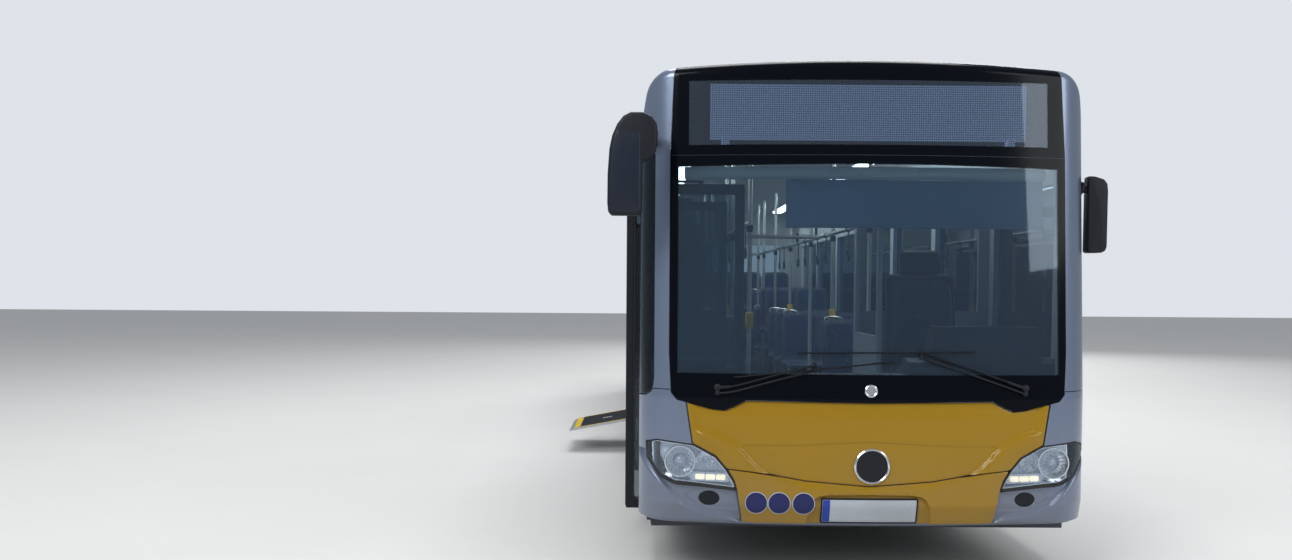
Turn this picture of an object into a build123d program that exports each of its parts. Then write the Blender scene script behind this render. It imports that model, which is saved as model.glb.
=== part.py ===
from build123d import *
import os
from math import sqrt, sin, cos, radians, degrees, atan2

# City bus, 12 m, low floor, two doorways on its kerb side. Millimetres. The origin is on the road
# under the middle of the front axle. +Y runs back along the bus, +X to its left, +Z up, so the
# front faces -Y and the kerb side is -X.

# Body
HALF_WIDTH = 1275.0
FRONT_Y = -2805.0
REAR_Y = 9330.0
WHEELBASE = 5900.0
PLAN_MARGIN = 0.5
SKIRT_Z = 320.0
ROOF_JOINT_Z = 2430.0
WALL = 50.0
SEAT_GAP = 0.3
FRONT_BOW = 6900.0
FRONT_CORNER = 250.0
REAR_BOW = 12000.0
REAR_CORNER = 180.0
# Each level of the body: height, how far its front and its rear stand back
BODY_LEVELS = [(300, 55, 45), (460, 0, 5), (1050, 10, 0), (3000, 160, 110)]
CANTRAIL_RADIUS = 1740.0
CANTRAIL_ANGLE = 11.0
ROOF_EDGE_RADIUS = 170.0
ROOF_EDGE_ANGLE = 86.5
FRONT_EDGE_RADIUS = 60.0
FRONT_END_Y = -2290.0
REAR_END_Y = 9060.0

# Front
GLASS = 8.0
PANEL = 30.7
INNER_WALL_OUT = 31.0
INNER_WALL_IN = 51.0
FLAP_SKIN = 8.0
FLAP_PLATE = 12.0
JOINT = 5.0
FLAP_JOINT = 7.0
PILLAR_LOW_Z = 1095.0
MASK_HALF = 1107.0
MASK_TOP_HALF = 1088.0
MASK_SPLIT_Z = 2400.0
MASK_REACH_Y = -2530.0
PILLAR_OUTER = 1190.0
CORNER_JOINT_Z = 742.0
BUMPER_LOW_Z = 356.0
PLATE_DEPTH = 14.0
FOG_PLACE = (890.0, 500.0)
FOG_RADIUS = 42.0
FRONT_PANEL_END_Y = -2600.0

# Side windows and doorways
GLASS_LOW_Z = 1060.0
GLASS_TOP_Z = 2360.0
GLASS_FRAME = 55.0
QUARTER_TOP_Z = 2415.0
PANE_RECESS = 10.0
DOOR_WIDTH = 1400.0
DOOR_TOP_Z = 2300.0
FRONT_DOOR_Y = -2290.0
MIDDLE_DOOR_Y = 1930.0
LEFT_PANES = [(-2200, -960), (-940, 600), (620, 2160), (2180, 3720), (3740, 5280), (5300, 6840), (6860, 8400)]
RIGHT_PANES = [(-860, 520), (540, 1900), (3360, 4840), (4860, 6340), (6360, 7840), (7860, 8960)]

# Door leaves
LEAF_THICKNESS = 36.0
LEAF_WIDTH = 688.0
LEAF_STILE = 48.0
LEAF_PANE = 8.0
LEAF_RAIL_Z = 1150.0
POST_RADIUS = 20.0

# Wheels
TYRE_RADIUS = 478.0
TYRE_WIDTH = 275.0
RIM_RADIUS = 286.0
FRONT_TRACK = 2101.0
REAR_TRACK = 1830.0
TWIN_SPACING = 310.0
AXLE_Z = 478.0
KINGPIN_OFFSET = 145.0
KINGPIN_RADIUS = 22.0
FIST_RADIUS = 38.0
FIST_HALF_HEIGHT = 60.0
KNUCKLE_WEB = 46.0
SPINDLE_RADIUS = 35.0
ARCH_RADIUS = 560.0
RIM_WIDTH = 210.0
HUB_RADIUS = 100.0
HUB_REACH = 172.0
SPINDLE_REACH = 120.0
HAND_HOLES = 8
HAND_HOLE_RING = 212.0
HAND_HOLE_RADIUS = 26.0
TYRE_SIDES = 48
# Each ring of a tyre's outer half: distance from its middle as a share of the half width, and radius
TYRE_RINGS = [(0.66, 302.0), (1.0, 390.0), (0.95, 445.0), (0.72, 478.0)]

# Floor
FLOOR_Z = 370.0
ENTRY_Z = 320.0
FLOOR_SLAB = 50.0
FLOOR_FRONT_Y = -2440.0
CAB_REAR_Y = -900.0
CAB_Z = 640.0
STEP_Z = 600.0
DECK_Z = 900.0
BOX_WALL = 15.0
FRONT_BOX_X = 540.0
REAR_BOX_X = 575.0
BOX_HALF = 575.0
BOX_TOP_Z = 1035.0
SLOPE_LOW_Y = -800.0
SLOPE_TOP_Y = -550.0
STEP_Y = 7250.0
DECK_Y = 8000.0
FLOOR_REAR_Y = 9020.0
# Each level floor plate between the slope and the rear step: where it starts and ends, and whether
# wheel boxes narrow it
PLATE_BREAKS = [(575, 2150, False), (3110, 5325, False), (5325, 6475, True), (6475, 7250, False)]

# Cab, saloon, ramp and door places
CAB_X = 260.0
DRIVER_X = 700.0
STEER_PLACE = (700.0, -1960.0, 1230.0)
STEER_TILT = -28.0
SHELF_INSET = 51.5
SHELF_Z = 1135.0
SHELF_THICK = 15.0
RAIL_LOW_Z = 262.0
FRAME_FRONT_Y = -2150.0
CROSS_MEMBERS = [-2125, -1600, -900, 860, 1800, 2700, 3600, 4400, 5020, 6700, 7500, 8200, 8900]
# The rear jacking pads stand below a cross member's ends
JACK_X = 1100.0
JACK_Y = 4400.0
JACK_HALF = 40.0
JACK_DEPTH = 10.0
RAMP_Y = 2630.0
RAMP_WIDTH = 880.0
RAMP_LENGTH = 760.0
RAMP_PLATE = 22.0
RAMP_HINGE_X = -1235.0
RAMP_HINGE_Z = 358.0
RAMP_BED_Z = 340.0
RAMP_PIN = 6.0
RAMP_SLOPE = 10.6
POST_X = -1201.0
POST_SETBACK = 24.0
LEAF_TIP_X = -1350.0
LEAF_HINGE = 433.3
LEAF_OPEN_Y = 26.0
LEAF_RAISE = 24.0
LEAF_TOP_Z = 2270.0
LEAF_RAIL = 60.0
ARM_PIN = 10.0
POLE_X = 450.0
POLE_RADIUS = 17.0
GRAB_Z = 2150.0
POLE_GAP = 8.0
# Poles that stand free, and the seat rows that have one behind their inner seats
FREE_POLES = {1: [-500, 2370, 6640, 7380], -1: [-500, 1800, 6640, 7380]}
POLE_ROWS = [0, 1, 3]
SEAT_X = [568.0, 1002.0]
SEAT_WIDTH = 430.0
# The front edges of the seat rows of each side; those behind STEP_Y stand on the step
SEAT_ROWS = {1: [585, 3400, 4110, 4820, 6680, 7430], -1: [610, 3480, 4150, 4820, 6680, 7430]}
BOX_ROWS = [5420, 6060]
BOX_SEAT_X = [590.0, 1004.0]
BOX_SEAT_WIDTH = 410.0
# A seat from the side, in distance behind its front edge and height over its floor
SEAT_PROFILE = [(0, 425), (12, 446), (60, 452), (190, 432), (325, 428), (352, 470), (372, 620), (398, 800),
                (428, 955), (452, 1012), (474, 1000), (456, 900), (426, 740), (402, 570), (388, 450),
                (356, 396), (60, 404)]
BOX_SEAT_DROP = 380.0
REAR_SEAT_X = [-880, -440, 0, 440, 880]
REAR_SEAT_Y = 8420.0
HATCHES = [700, 7200]
# Each wiper: its arm's pivot and tip, then its blade's two ends
WIPERS = [((870, 1118), (309, 1300), (-401, 1304), (569, 1314)),
          ((-870, 1100), (-300, 1235), (-760, 1160), (150, 1262))]
UNIT_Y0 = 3200.0
UNIT_Y1 = 5900.0
ROOF_TOP_Z = 3120.0
UNIT_HALF = 850.0
# The kerb-side mirror from the front, in X and Z: its head, and its arm's thick root
MIRROR_FRONT_Y = -2900.0
MIRROR_DEPTH = 100.0
MIRROR_HEAD = [(-1447, 2110), (-1447, 2265), (-1438, 2400), (-1424, 2470), (-1398, 2530), (-1365, 2573),
               (-1325, 2594), (-1262, 2594), (-1216, 2574), (-1186, 2535), (-1178, 2480), (-1182, 2425),
               (-1252, 2425), (-1254, 2064), (-1268, 2044), (-1422, 2044), (-1440, 2062)]
MIRROR_ARM = [(-1182, 2430), (-1250, 2430), (-1250, 2560), (-1200, 2560), (-1182, 2530)]


def slab(x0, x1, y0, y1, z0, z1):
    """A block between two corners."""
    return Pos((x0 + x1) / 2, (y0 + y1) / 2, (z0 + z1) / 2) * Box(abs(x1 - x0), abs(y1 - y0), abs(z1 - z0))


def rounded_slab(x0, x1, y0, y1, z0, z1, radius):
    """A block between two corners with all its edges rounded."""
    return fillet(slab(x0, x1, y0, y1, z0, z1).edges(), radius)


def flip(point):
    return (-point[0], point[1])


def mirrored(points):
    """A front outline from its half on the +X side, listed from the centre line outwards."""
    return points + [flip(p) for p in reversed(points) if p[0] > 0]


def end_curve(y_end, sense, bow, corner, inset):
    """One end of the plan: centre, tangent, corner and side points of its +X half."""
    reach = HALF_WIDTH + PLAN_MARGIN - corner
    span = bow - corner
    depth = sqrt(span ** 2 - reach ** 2)
    middle_y = y_end + sense * bow
    corner_y = middle_y - sense * depth
    ux, uy = reach / span, -sense * depth / span
    tangent = (ux * (bow - inset), middle_y + uy * (bow - inset))
    length = sqrt((1 + ux) ** 2 + uy ** 2)
    elbow = (reach + (1 + ux) / length * (corner - inset), corner_y + uy / length * (corner - inset))
    return (0, y_end + sense * inset), tangent, elbow, (HALF_WIDTH + PLAN_MARGIN - inset, corner_y)


def plan_face(z, front_back, rear_back, inset):
    """The body's plan at one height."""
    fc, ft, fe, fs = end_curve(FRONT_Y + front_back, 1, FRONT_BOW, FRONT_CORNER, inset)
    rc, rt, re, rs = end_curve(REAR_Y - rear_back, -1, REAR_BOW, REAR_CORNER, inset)
    edges = [
        ThreePointArc(flip(ft), fc, ft),
        ThreePointArc(ft, fe, fs),
        Line(fs, rs),
        ThreePointArc(rs, re, rt),
        ThreePointArc(rt, rc, flip(rt)),
        ThreePointArc(flip(rt), flip(re), flip(rs)),
        Line(flip(rs), flip(fs)),
        ThreePointArc(flip(fs), flip(fe), flip(ft)),
    ]
    return Pos(0, 0, z) * make_face(edges)


def cross_section(inset):
    """The body's cross section: upright sides, cantrail arc, roof edge arc and crown arc."""
    start = (HALF_WIDTH - CANTRAIL_RADIUS, ROOF_JOINT_Z)

    def on(centre, radius, angle):
        turn = radians(angle)
        return (centre[0] + (radius - inset) * cos(turn), centre[1] + (radius - inset) * sin(turn))

    step = CANTRAIL_RADIUS - ROOF_EDGE_RADIUS
    edge = (start[0] + step * cos(radians(CANTRAIL_ANGLE)), start[1] + step * sin(radians(CANTRAIL_ANGLE)))
    crown_step = edge[0] / cos(radians(ROOF_EDGE_ANGLE))
    crown_radius = ROOF_EDGE_RADIUS + crown_step
    crown = (0, edge[1] - crown_step * sin(radians(ROOF_EDGE_ANGLE)))
    foot = (HALF_WIDTH - inset, 100)
    shoulder = (HALF_WIDTH - inset, ROOF_JOINT_Z)
    a_mid = on(start, CANTRAIL_RADIUS, CANTRAIL_ANGLE / 2)
    a_end = on(start, CANTRAIL_RADIUS, CANTRAIL_ANGLE)
    b_mid = on(edge, ROOF_EDGE_RADIUS, (CANTRAIL_ANGLE + ROOF_EDGE_ANGLE) / 2)
    b_end = on(edge, ROOF_EDGE_RADIUS, ROOF_EDGE_ANGLE)
    top = (0, crown[1] + crown_radius - inset)
    edges = [
        Line(foot, shoulder),
        ThreePointArc(shoulder, a_mid, a_end),
        ThreePointArc(a_end, b_mid, b_end),
        ThreePointArc(b_end, top, flip(b_end)),
        ThreePointArc(flip(b_end), flip(b_mid), flip(a_end)),
        ThreePointArc(flip(a_end), flip(a_mid), flip(shoulder)),
        Line(flip(shoulder), flip(foot)),
        Line(flip(foot), foot),
    ]
    return make_face(edges)


HULLS = {}


def hull(inset):
    """The whole body's outer form, drawn inset all round."""
    if inset not in HULLS:
        HULLS[inset] = hull_form(inset)
    return HULLS[inset]


def hull_form(inset):
    levels = [plan_face(z, front, rear, inset) for z, front, rear in BODY_LEVELS]
    block = loft(levels, ruled=True)
    length = REAR_Y - FRONT_Y + 2000
    tube = Pos(0, FRONT_Y - 1000, 0) * extrude(Plane.XZ * cross_section(inset), amount=-length)
    form = block & tube
    if inset > 2 * GLASS:
        return form
    ends = []
    for edge in form.edges():
        box = edge.bounding_box()
        if box.min.Z > ROOF_JOINT_Z - 20 and box.size.Z < 500 and (box.max.Y < FRONT_END_Y + 100):
            ends.append(edge)
    return fillet(ends, FRONT_EDGE_RADIUS - inset)


def grown(points, amount):
    """The outline with every side moved outwards by the amount."""
    count = len(points)
    area = sum(points[i - 1][0] * points[i][1] - points[i][0] * points[i - 1][1] for i in range(count))
    sense = 1 if area > 0 else -1
    result = []
    for i in range(count):
        (ax, az), (bx, bz), (cx, cz) = points[i - 1], points[i], points[(i + 1) % count]
        before, after = sqrt((bx - ax) ** 2 + (bz - az) ** 2), sqrt((cx - bx) ** 2 + (cz - bz) ** 2)
        nx, nz = sense * (bz - az) / before, -sense * (bx - ax) / before
        mx, mz = sense * (cz - bz) / after, -sense * (cx - bx) / after
        share = amount / (1 + nx * mx + nz * mz)
        result.append((bx + (nx + mx) * share, bz + (nz + mz) * share))
    return result


def front_prism(points, grow=0.0, y0=FRONT_Y - 100, y1=FRONT_END_Y):
    """A prism along Y through the front, from an outline in X and Z."""
    face = make_face(Polyline(*grown(points, grow), close=True))
    return Pos(0, y1, 0) * extrude(Plane.XZ * face, amount=y1 - y0)


def both(shape):
    """The shape and its mirror image across the centre line."""
    return [shape, mirror(shape, Plane.YZ)]


def one(shape):
    """A single shape for export, from whatever a cut or a fuse gives."""
    if isinstance(shape, (list, ShapeList)):
        solids = []
        for item in shape:
            solids += item.solids()
        return Compound(children=solids) if len(solids) > 1 else solids[0]
    return shape


parts = {}


def add(name, shape):
    parts[name] = one(shape)


OUTER = hull(0)
GLASS_BACK = hull(GLASS)
SEAT_FACE = hull(GLASS + SEAT_GAP)
PANEL_BACK = hull(PANEL)
FLAP_BACK = hull(FLAP_SKIN)
WALL_BACK = hull(WALL)
INNER_OUT = hull(INNER_WALL_OUT)
INNER_IN = hull(INNER_WALL_IN)
LAMP_BACK = hull(110)
LAMP_REACH_Y = -2560.0

WALL_SHELL = OUTER - WALL_BACK

# Front outlines, in X and Z, from the centre line outwards
MASK_LOW = [(0, 1033), (683, 1040), (755, 1003), (800, 984), (867, 990), (1009, 1024), (1066, 1038),
            (1096, 1076)]
MASK_TOP = [(MASK_TOP_HALF, 2850), (1078, 2885), (1050, 2910), (900, 3020), (0, 3020)]
MASK = mirrored(MASK_LOW + [(MASK_HALF, 1300), (MASK_HALF, MASK_SPLIT_Z)] + MASK_TOP)
WINDSCREEN = mirrored(MASK_LOW + [(MASK_HALF, 1300), (MASK_HALF, MASK_SPLIT_Z), (0, MASK_SPLIT_Z)])
FLAP_TOP = [(0, 1033), (683, 1040), (755, 1003), (800, 984), (867, 990), (1009, 1024)]
FLAP_LOW = [(774, 656), (671, 648), (543, 630), (350, 597), (0, 570)]
FLAP_SIDE = [(975, 798), (966, 791), (848, 731), (788, 661)]
FLAP = mirrored([(x, z - JOINT) for x, z in FLAP_TOP] + FLAP_SIDE + FLAP_LOW)
LAMP = [(971, 786), (1090, 800), (1174, 807), (1230, 790), (1230, 700), (1218, 690), (1160, 620),
        (1075, 580), (969, 572), (735, 549), (751, 590), (792, 655), (849, 722)]
BUMPER_TOP = [(x + JOINT * (x > 700), z - JOINT) for x, z in reversed(FLAP_LOW)]
BUMPER = mirrored(BUMPER_TOP + [(746, 597), (729, 546), (686, 300), (0, 300)])
PLATE_RECESS = mirrored([(0, 520), (272, 520), (330, 500), (348, 300), (0, 300)])
QUARTER = [(-1400, 1048), (-1268, 1050), (-1236, 1057), (-1211, 1077), (-1196, 1105), (-PILLAR_OUTER, 1145),
           (-PILLAR_OUTER, QUARTER_TOP_Z), (-1400, QUARTER_TOP_Z)]


def build_front():
    mask = front_prism(MASK, 0, y1=MASK_REACH_Y)
    mask_cut = front_prism(MASK, 3, y1=MASK_REACH_Y + 3)
    wind = front_prism(WINDSCREEN, 0)
    flap_cut = front_prism(FLAP, FLAP_JOINT)
    lamp = front_prism(LAMP, y1=LAMP_REACH_Y)
    lamp_cuts = both(front_prism(LAMP, JOINT, y1=LAMP_REACH_Y))
    bumper = front_prism(BUMPER, 0, y1=FRONT_PANEL_END_Y)
    bumper_cut = front_prism(BUMPER, JOINT, y1=FRONT_PANEL_END_Y)
    quarter = front_prism(QUARTER, y1=FRONT_END_Y - 40)
    quarter_pane = front_prism(QUARTER, -3, y1=FRONT_END_Y - 43)

    skin = OUTER - GLASS_BACK
    add("windscreen", skin & wind & slab(-1300, 1300, -2900, -2400, 900, MASK_SPLIT_Z - 4))
    add("quarter_glass", skin & quarter_pane & slab(-1400, 0, -2900, FRONT_END_Y - 43, 900, QUARTER_TOP_Z))
    add("display_glass", skin & (mask & slab(-1300, 1300, -2900, -2000, MASK_SPLIT_Z, 3100)))

    pillars = WALL_SHELL & slab(-1400, 1400, FRONT_Y - 50, FRONT_END_Y, PILLAR_LOW_Z, ROOF_JOINT_Z - SEAT_GAP)
    pillars = pillars - mask_cut - quarter
    quarter_view = slab(-1400, -1235, -2480, FRONT_END_Y - 90, GLASS_LOW_Z + 45, GLASS_TOP_Z - 45)
    seat_shell = SEAT_FACE - WALL_BACK
    quarter_back = seat_shell & (quarter - quarter_view) & slab(-1400, 0, -2900, FRONT_END_Y, 900, 3000)
    inner_reach = slab(-1400, 1400, FRONT_Y, FRONT_END_Y, SKIRT_Z + 20, PILLAR_LOW_Z + 1)
    inner_wall = (INNER_OUT - INNER_IN) & inner_reach
    screen_seat = seat_shell & (mask_cut & slab(-1300, 1300, -2900, FRONT_END_Y, 900, MASK_SPLIT_Z + 30))
    view_top = [(1060, MASK_SPLIT_Z - 60), (0, MASK_SPLIT_Z - 40)]
    screen_hole = front_prism(mirrored([(0, 1130), (1040, 1130), (1060, 1200)] + view_top))
    low_cut = slab(-1300, 1300, FRONT_Y, FRONT_END_Y, 0, PILLAR_LOW_Z - 60)
    screen_seat = screen_seat - screen_hole - low_cut
    frame = pillars + quarter_back + screen_seat + inner_wall
    add("front_frame", frame - lamp_cuts[0] - lamp_cuts[1])

    panel = OUTER - PANEL_BACK
    corners_low, corners_high = CORNER_JOINT_Z + JOINT, PILLAR_LOW_Z - JOINT
    corners = panel & slab(-1400, 1400, FRONT_Y - 50, FRONT_END_Y, corners_low, corners_high)
    corners = corners - mask_cut - flap_cut - lamp_cuts[0] - lamp_cuts[1]
    add("front_corners", corners - front_prism(QUARTER, JOINT))

    flap = (OUTER - FLAP_BACK) & front_prism(FLAP)
    buffers = [front_prism([(x, 680), (x + 40, 680), (x + 40, 720), (x, 720)]) for x in (-640, 600)]
    add("front_flap", flap + [panel & buffer for buffer in buffers])

    lower = panel & slab(-1400, 1400, FRONT_Y - 50, FRONT_END_Y, BUMPER_LOW_Z, CORNER_JOINT_Z)
    lower = lower - bumper_cut - flap_cut - lamp_cuts[0] - lamp_cuts[1]
    fog_holes = both(cylinder_y(FOG_PLACE[0], FRONT_Y, FRONT_PANEL_END_Y, FOG_PLACE[1], FOG_RADIUS))
    add("bumper_corners", lower - fog_holes)
    middle = panel & bumper & slab(-1400, 1400, FRONT_Y - 50, FRONT_END_Y, BUMPER_LOW_Z, 700)
    plate_recess = (OUTER - hull(PLATE_DEPTH)) & front_prism(PLATE_RECESS)
    add("front_bumper", middle - plate_recess)

    pan = (OUTER - LAMP_BACK) & lamp
    hollow = (hull(0) - hull(95)) & front_prism(LAMP, -9, y1=LAMP_REACH_Y)
    flange = (hull(INNER_WALL_IN + SEAT_GAP) - hull(60)) & front_prism(LAMP, 20, y1=LAMP_REACH_Y)
    housing = ((SEAT_FACE & pan) + flange) - hollow
    add("headlamp_housings", both(housing))
    add("headlamp_lenses", both(skin & front_prism(LAMP, -1, y1=LAMP_REACH_Y)))


def build_shell():
    side_box = {1: slab(0, 1400, FRONT_END_Y, REAR_END_Y, SKIRT_Z, ROOF_JOINT_Z - SEAT_GAP),
                -1: slab(-1400, 0, FRONT_END_Y, REAR_END_Y, SKIRT_Z, ROOF_JOINT_Z - SEAT_GAP)}
    panes_of = {1: LEFT_PANES, -1: RIGHT_PANES}
    doors = [FRONT_DOOR_Y, MIDDLE_DOOR_Y]
    panes = []
    for sense, name in ((1, "left_side"), (-1, "right_side")):
        wall = WALL_SHELL & side_box[sense]
        cuts = []
        for y0, y1 in panes_of[sense]:
            x_out, x_in = sense * (HALF_WIDTH + 20), sense * (HALF_WIDTH - PANE_RECESS)
            cuts.append(slab(x_out, x_in, y0 - 3, y1 + 3, GLASS_LOW_Z - 3, GLASS_TOP_Z + 3))
            cuts.append(slab(x_out, sense * (HALF_WIDTH - 2 * WALL), y0 + GLASS_FRAME, y1 - GLASS_FRAME,
                             GLASS_LOW_Z + GLASS_FRAME, GLASS_TOP_Z - GLASS_FRAME))
            face = sense * (HALF_WIDTH - PANE_RECESS + SEAT_GAP)
            panes.append(slab(face, face + sense * GLASS, y0, y1, GLASS_LOW_Z, GLASS_TOP_Z))
        for axle_y in (0, WHEELBASE):
            arch = Pos(sense * HALF_WIDTH, axle_y, AXLE_Z) * (Rot(0, 90, 0) * Cylinder(ARCH_RADIUS, 4 * WALL))
            cuts.append(arch)
            cuts.append(slab(sense * (HALF_WIDTH - 2 * WALL), sense * (HALF_WIDTH + 20), axle_y - ARCH_RADIUS,
                             axle_y + ARCH_RADIUS, 200, AXLE_Z))
        if sense < 0:
            for y0 in doors:
                cuts.append(slab(-1400, -1100, y0, y0 + DOOR_WIDTH, 200, DOOR_TOP_Z))
        add(name, wall - cuts)
    add("side_windows", panes)

    mask_cut = front_prism(MASK, 3, y1=MASK_REACH_Y + 3)
    roof = WALL_SHELL & slab(-1400, 1400, FRONT_Y - 50, REAR_END_Y, ROOF_JOINT_Z, 3100)
    add("roof", roof - mask_cut)

    rear = WALL_SHELL & slab(-1400, 1400, REAR_END_Y + SEAT_GAP, REAR_Y + 50, SKIRT_Z, 3100)
    window = slab(-1000, 1000, REAR_END_Y, REAR_Y + 50, 1650, 2350)
    window_recess = slab(-1060, 1060, REAR_END_Y, REAR_Y + 50, 1590, 2410) & (OUTER - SEAT_FACE)
    engine_hole = slab(-955, 955, REAR_END_Y + 100, REAR_Y + 50, 605, 1435)
    flap_shell = OUTER - hull(FLAP_PLATE + SEAT_GAP)
    engine_recess = slab(-1000, 1000, REAR_END_Y + 100, REAR_Y + 50, 560, 1480) & flap_shell
    lamp_shell = OUTER - hull(30)
    lamp_holes = [lamp_shell & slab(s * 1090, s * 1190, REAR_END_Y + 60, REAR_Y + 50, 700, 1300)
                  for s in (1, -1)]
    add("rear_wall", rear - [window, window_recess, engine_hole, engine_recess] - lamp_holes)
    add("rear_window", (OUTER - GLASS_BACK) & slab(-1057, 1057, REAR_END_Y + 20, REAR_Y + 50, 1593, 2407))
    add("engine_flap", (OUTER - hull(FLAP_PLATE)) & slab(-994, 994, REAR_END_Y + 110, REAR_Y + 50, 566, 1474))
    lamp_shell = OUTER - hull(30 - SEAT_GAP)
    places = [slab(s * 1091, s * 1189, REAR_END_Y + 60, REAR_Y + 50, 701, 1299) for s in (1, -1)]
    add("tail_lamps", [lamp_shell & place for place in places])


def cylinder_x(x0, x1, y, z, radius):
    """A round bar along X."""
    return Pos((x0 + x1) / 2, y, z) * (Rot(0, 90, 0) * Cylinder(radius, abs(x1 - x0)))


def cylinder_y(x, y0, y1, z, radius):
    """A round bar along Y."""
    return Pos(x, (y0 + y1) / 2, z) * (Rot(90, 0, 0) * Cylinder(radius, abs(y1 - y0)))


def cylinder_z(x, y, z0, z1, radius):
    """A round bar along Z."""
    return Pos(x, y, (z0 + z1) / 2) * Cylinder(radius, abs(z1 - z0))


def side_profile(points, x0, x1):
    """A solid between two X planes, from an outline in Y and Z."""
    face = make_face(Polyline(*points, close=True))
    return Pos(min(x0, x1), 0, 0) * extrude(Plane.YZ * face, amount=abs(x1 - x0))


def wheel_box(sense, inner_x, axle_y):
    """The housing over a wheel, open below and towards the arch."""
    outer_x = sense * (HALF_WIDTH - WALL - SEAT_GAP)
    y0, y1 = axle_y - BOX_HALF, axle_y + BOX_HALF
    shell = slab(sense * inner_x, outer_x, y0, y1, ENTRY_Z - FLOOR_SLAB, BOX_TOP_Z)
    room = slab(sense * (inner_x + BOX_WALL), outer_x + sense, axle_y - BOX_HALF + BOX_WALL,
                axle_y + BOX_HALF - BOX_WALL, 0, BOX_TOP_Z - BOX_WALL)
    return shell - room


def build_floor():
    edge = HALF_WIDTH - WALL - SEAT_GAP
    low, entry_low = FLOOR_Z - FLOOR_SLAB, ENTRY_Z - FLOOR_SLAB
    post_notch = slab(-1200, -1240, FLOOR_FRONT_Y - 10, FRONT_END_Y + 5, 200, 700)
    entry = slab(-edge, CAB_X, FLOOR_FRONT_Y, CAB_REAR_Y, entry_low, ENTRY_Z) - post_notch
    cab_notch = slab(1200, 1240, FLOOR_FRONT_Y - 10, FRONT_END_Y + 5, 200, 700)
    cab = slab(CAB_X, edge, FLOOR_FRONT_Y, CAB_REAR_Y, entry_low, CAB_Z) - cab_notch
    cab = cab - slab(CAB_X + 30, edge - 30, FLOOR_FRONT_Y + 30, CAB_REAR_Y - 30, 0, CAB_Z - 30)
    slope = side_profile([(CAB_REAR_Y, entry_low), (CAB_REAR_Y, ENTRY_Z), (SLOPE_LOW_Y, ENTRY_Z),
                          (SLOPE_TOP_Y, FLOOR_Z), (SLOPE_TOP_Y, low), (SLOPE_LOW_Y, entry_low)], -edge, edge)
    boxes = []
    for axle_y, inner in ((0, FRONT_BOX_X), (WHEELBASE, REAR_BOX_X)):
        for sense in (1, -1):
            boxes.append(wheel_box(sense, inner, axle_y))
            y0, y1 = axle_y - BOX_HALF, axle_y + BOX_HALF
            slope = slope - slab(sense * inner, sense * (edge + 10), y0, y1, 0, BOX_TOP_Z)
    plates = [slab(-FRONT_BOX_X, FRONT_BOX_X, SLOPE_TOP_Y, BOX_HALF, low, FLOOR_Z)]
    for y0, y1, narrow in PLATE_BREAKS:
        reach = REAR_BOX_X if narrow else edge
        plates.append(slab(-reach, reach, y0, y1, low, FLOOR_Z))
    step = side_profile([(STEP_Y, low), (STEP_Y, STEP_Z), (DECK_Y, STEP_Z), (DECK_Y, STEP_Z - FLOOR_SLAB),
                         (STEP_Y + FLOOR_SLAB, STEP_Z - FLOOR_SLAB), (STEP_Y + FLOOR_SLAB, low)], -edge, edge)
    deck = side_profile([(DECK_Y, STEP_Z - FLOOR_SLAB), (DECK_Y, DECK_Z), (FLOOR_REAR_Y, DECK_Z),
                         (FLOOR_REAR_Y, DECK_Z - FLOOR_SLAB), (DECK_Y + FLOOR_SLAB, DECK_Z - FLOOR_SLAB),
                         (DECK_Y + FLOOR_SLAB, STEP_Z - FLOOR_SLAB)], -edge, edge)

    ramp_y0, ramp_y1 = RAMP_Y - RAMP_WIDTH / 2, RAMP_Y + RAMP_WIDTH / 2
    bay = slab(-edge, edge, PLATE_BREAKS[0][1], PLATE_BREAKS[1][0], low, FLOOR_Z)
    bay = bay - slab(-1300, RAMP_HINGE_X + RAMP_LENGTH + 8, ramp_y0 - 6, ramp_y1 + 6, RAMP_BED_Z, FLOOR_Z + 1)
    bay = bay + slab(-1268, -edge + 5, ramp_y0 - 30, ramp_y1 + 30, low, RAMP_BED_Z)
    for y, inward in ((ramp_y0, 1), (ramp_y1, -1)):
        near, far = y - inward * 6, y - inward * 30
        bay = bay + slab(RAMP_HINGE_X - 14, RAMP_HINGE_X + 14, near, far, RAMP_BED_Z - 1, RAMP_HINGE_Z + 11)
        bay = bay + cylinder_y(RAMP_HINGE_X, y - inward * 7, y + inward * 40, RAMP_HINGE_Z, RAMP_PIN)
    add("floor", [entry, cab, slope, *plates, step, deck, bay, *boxes])


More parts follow.
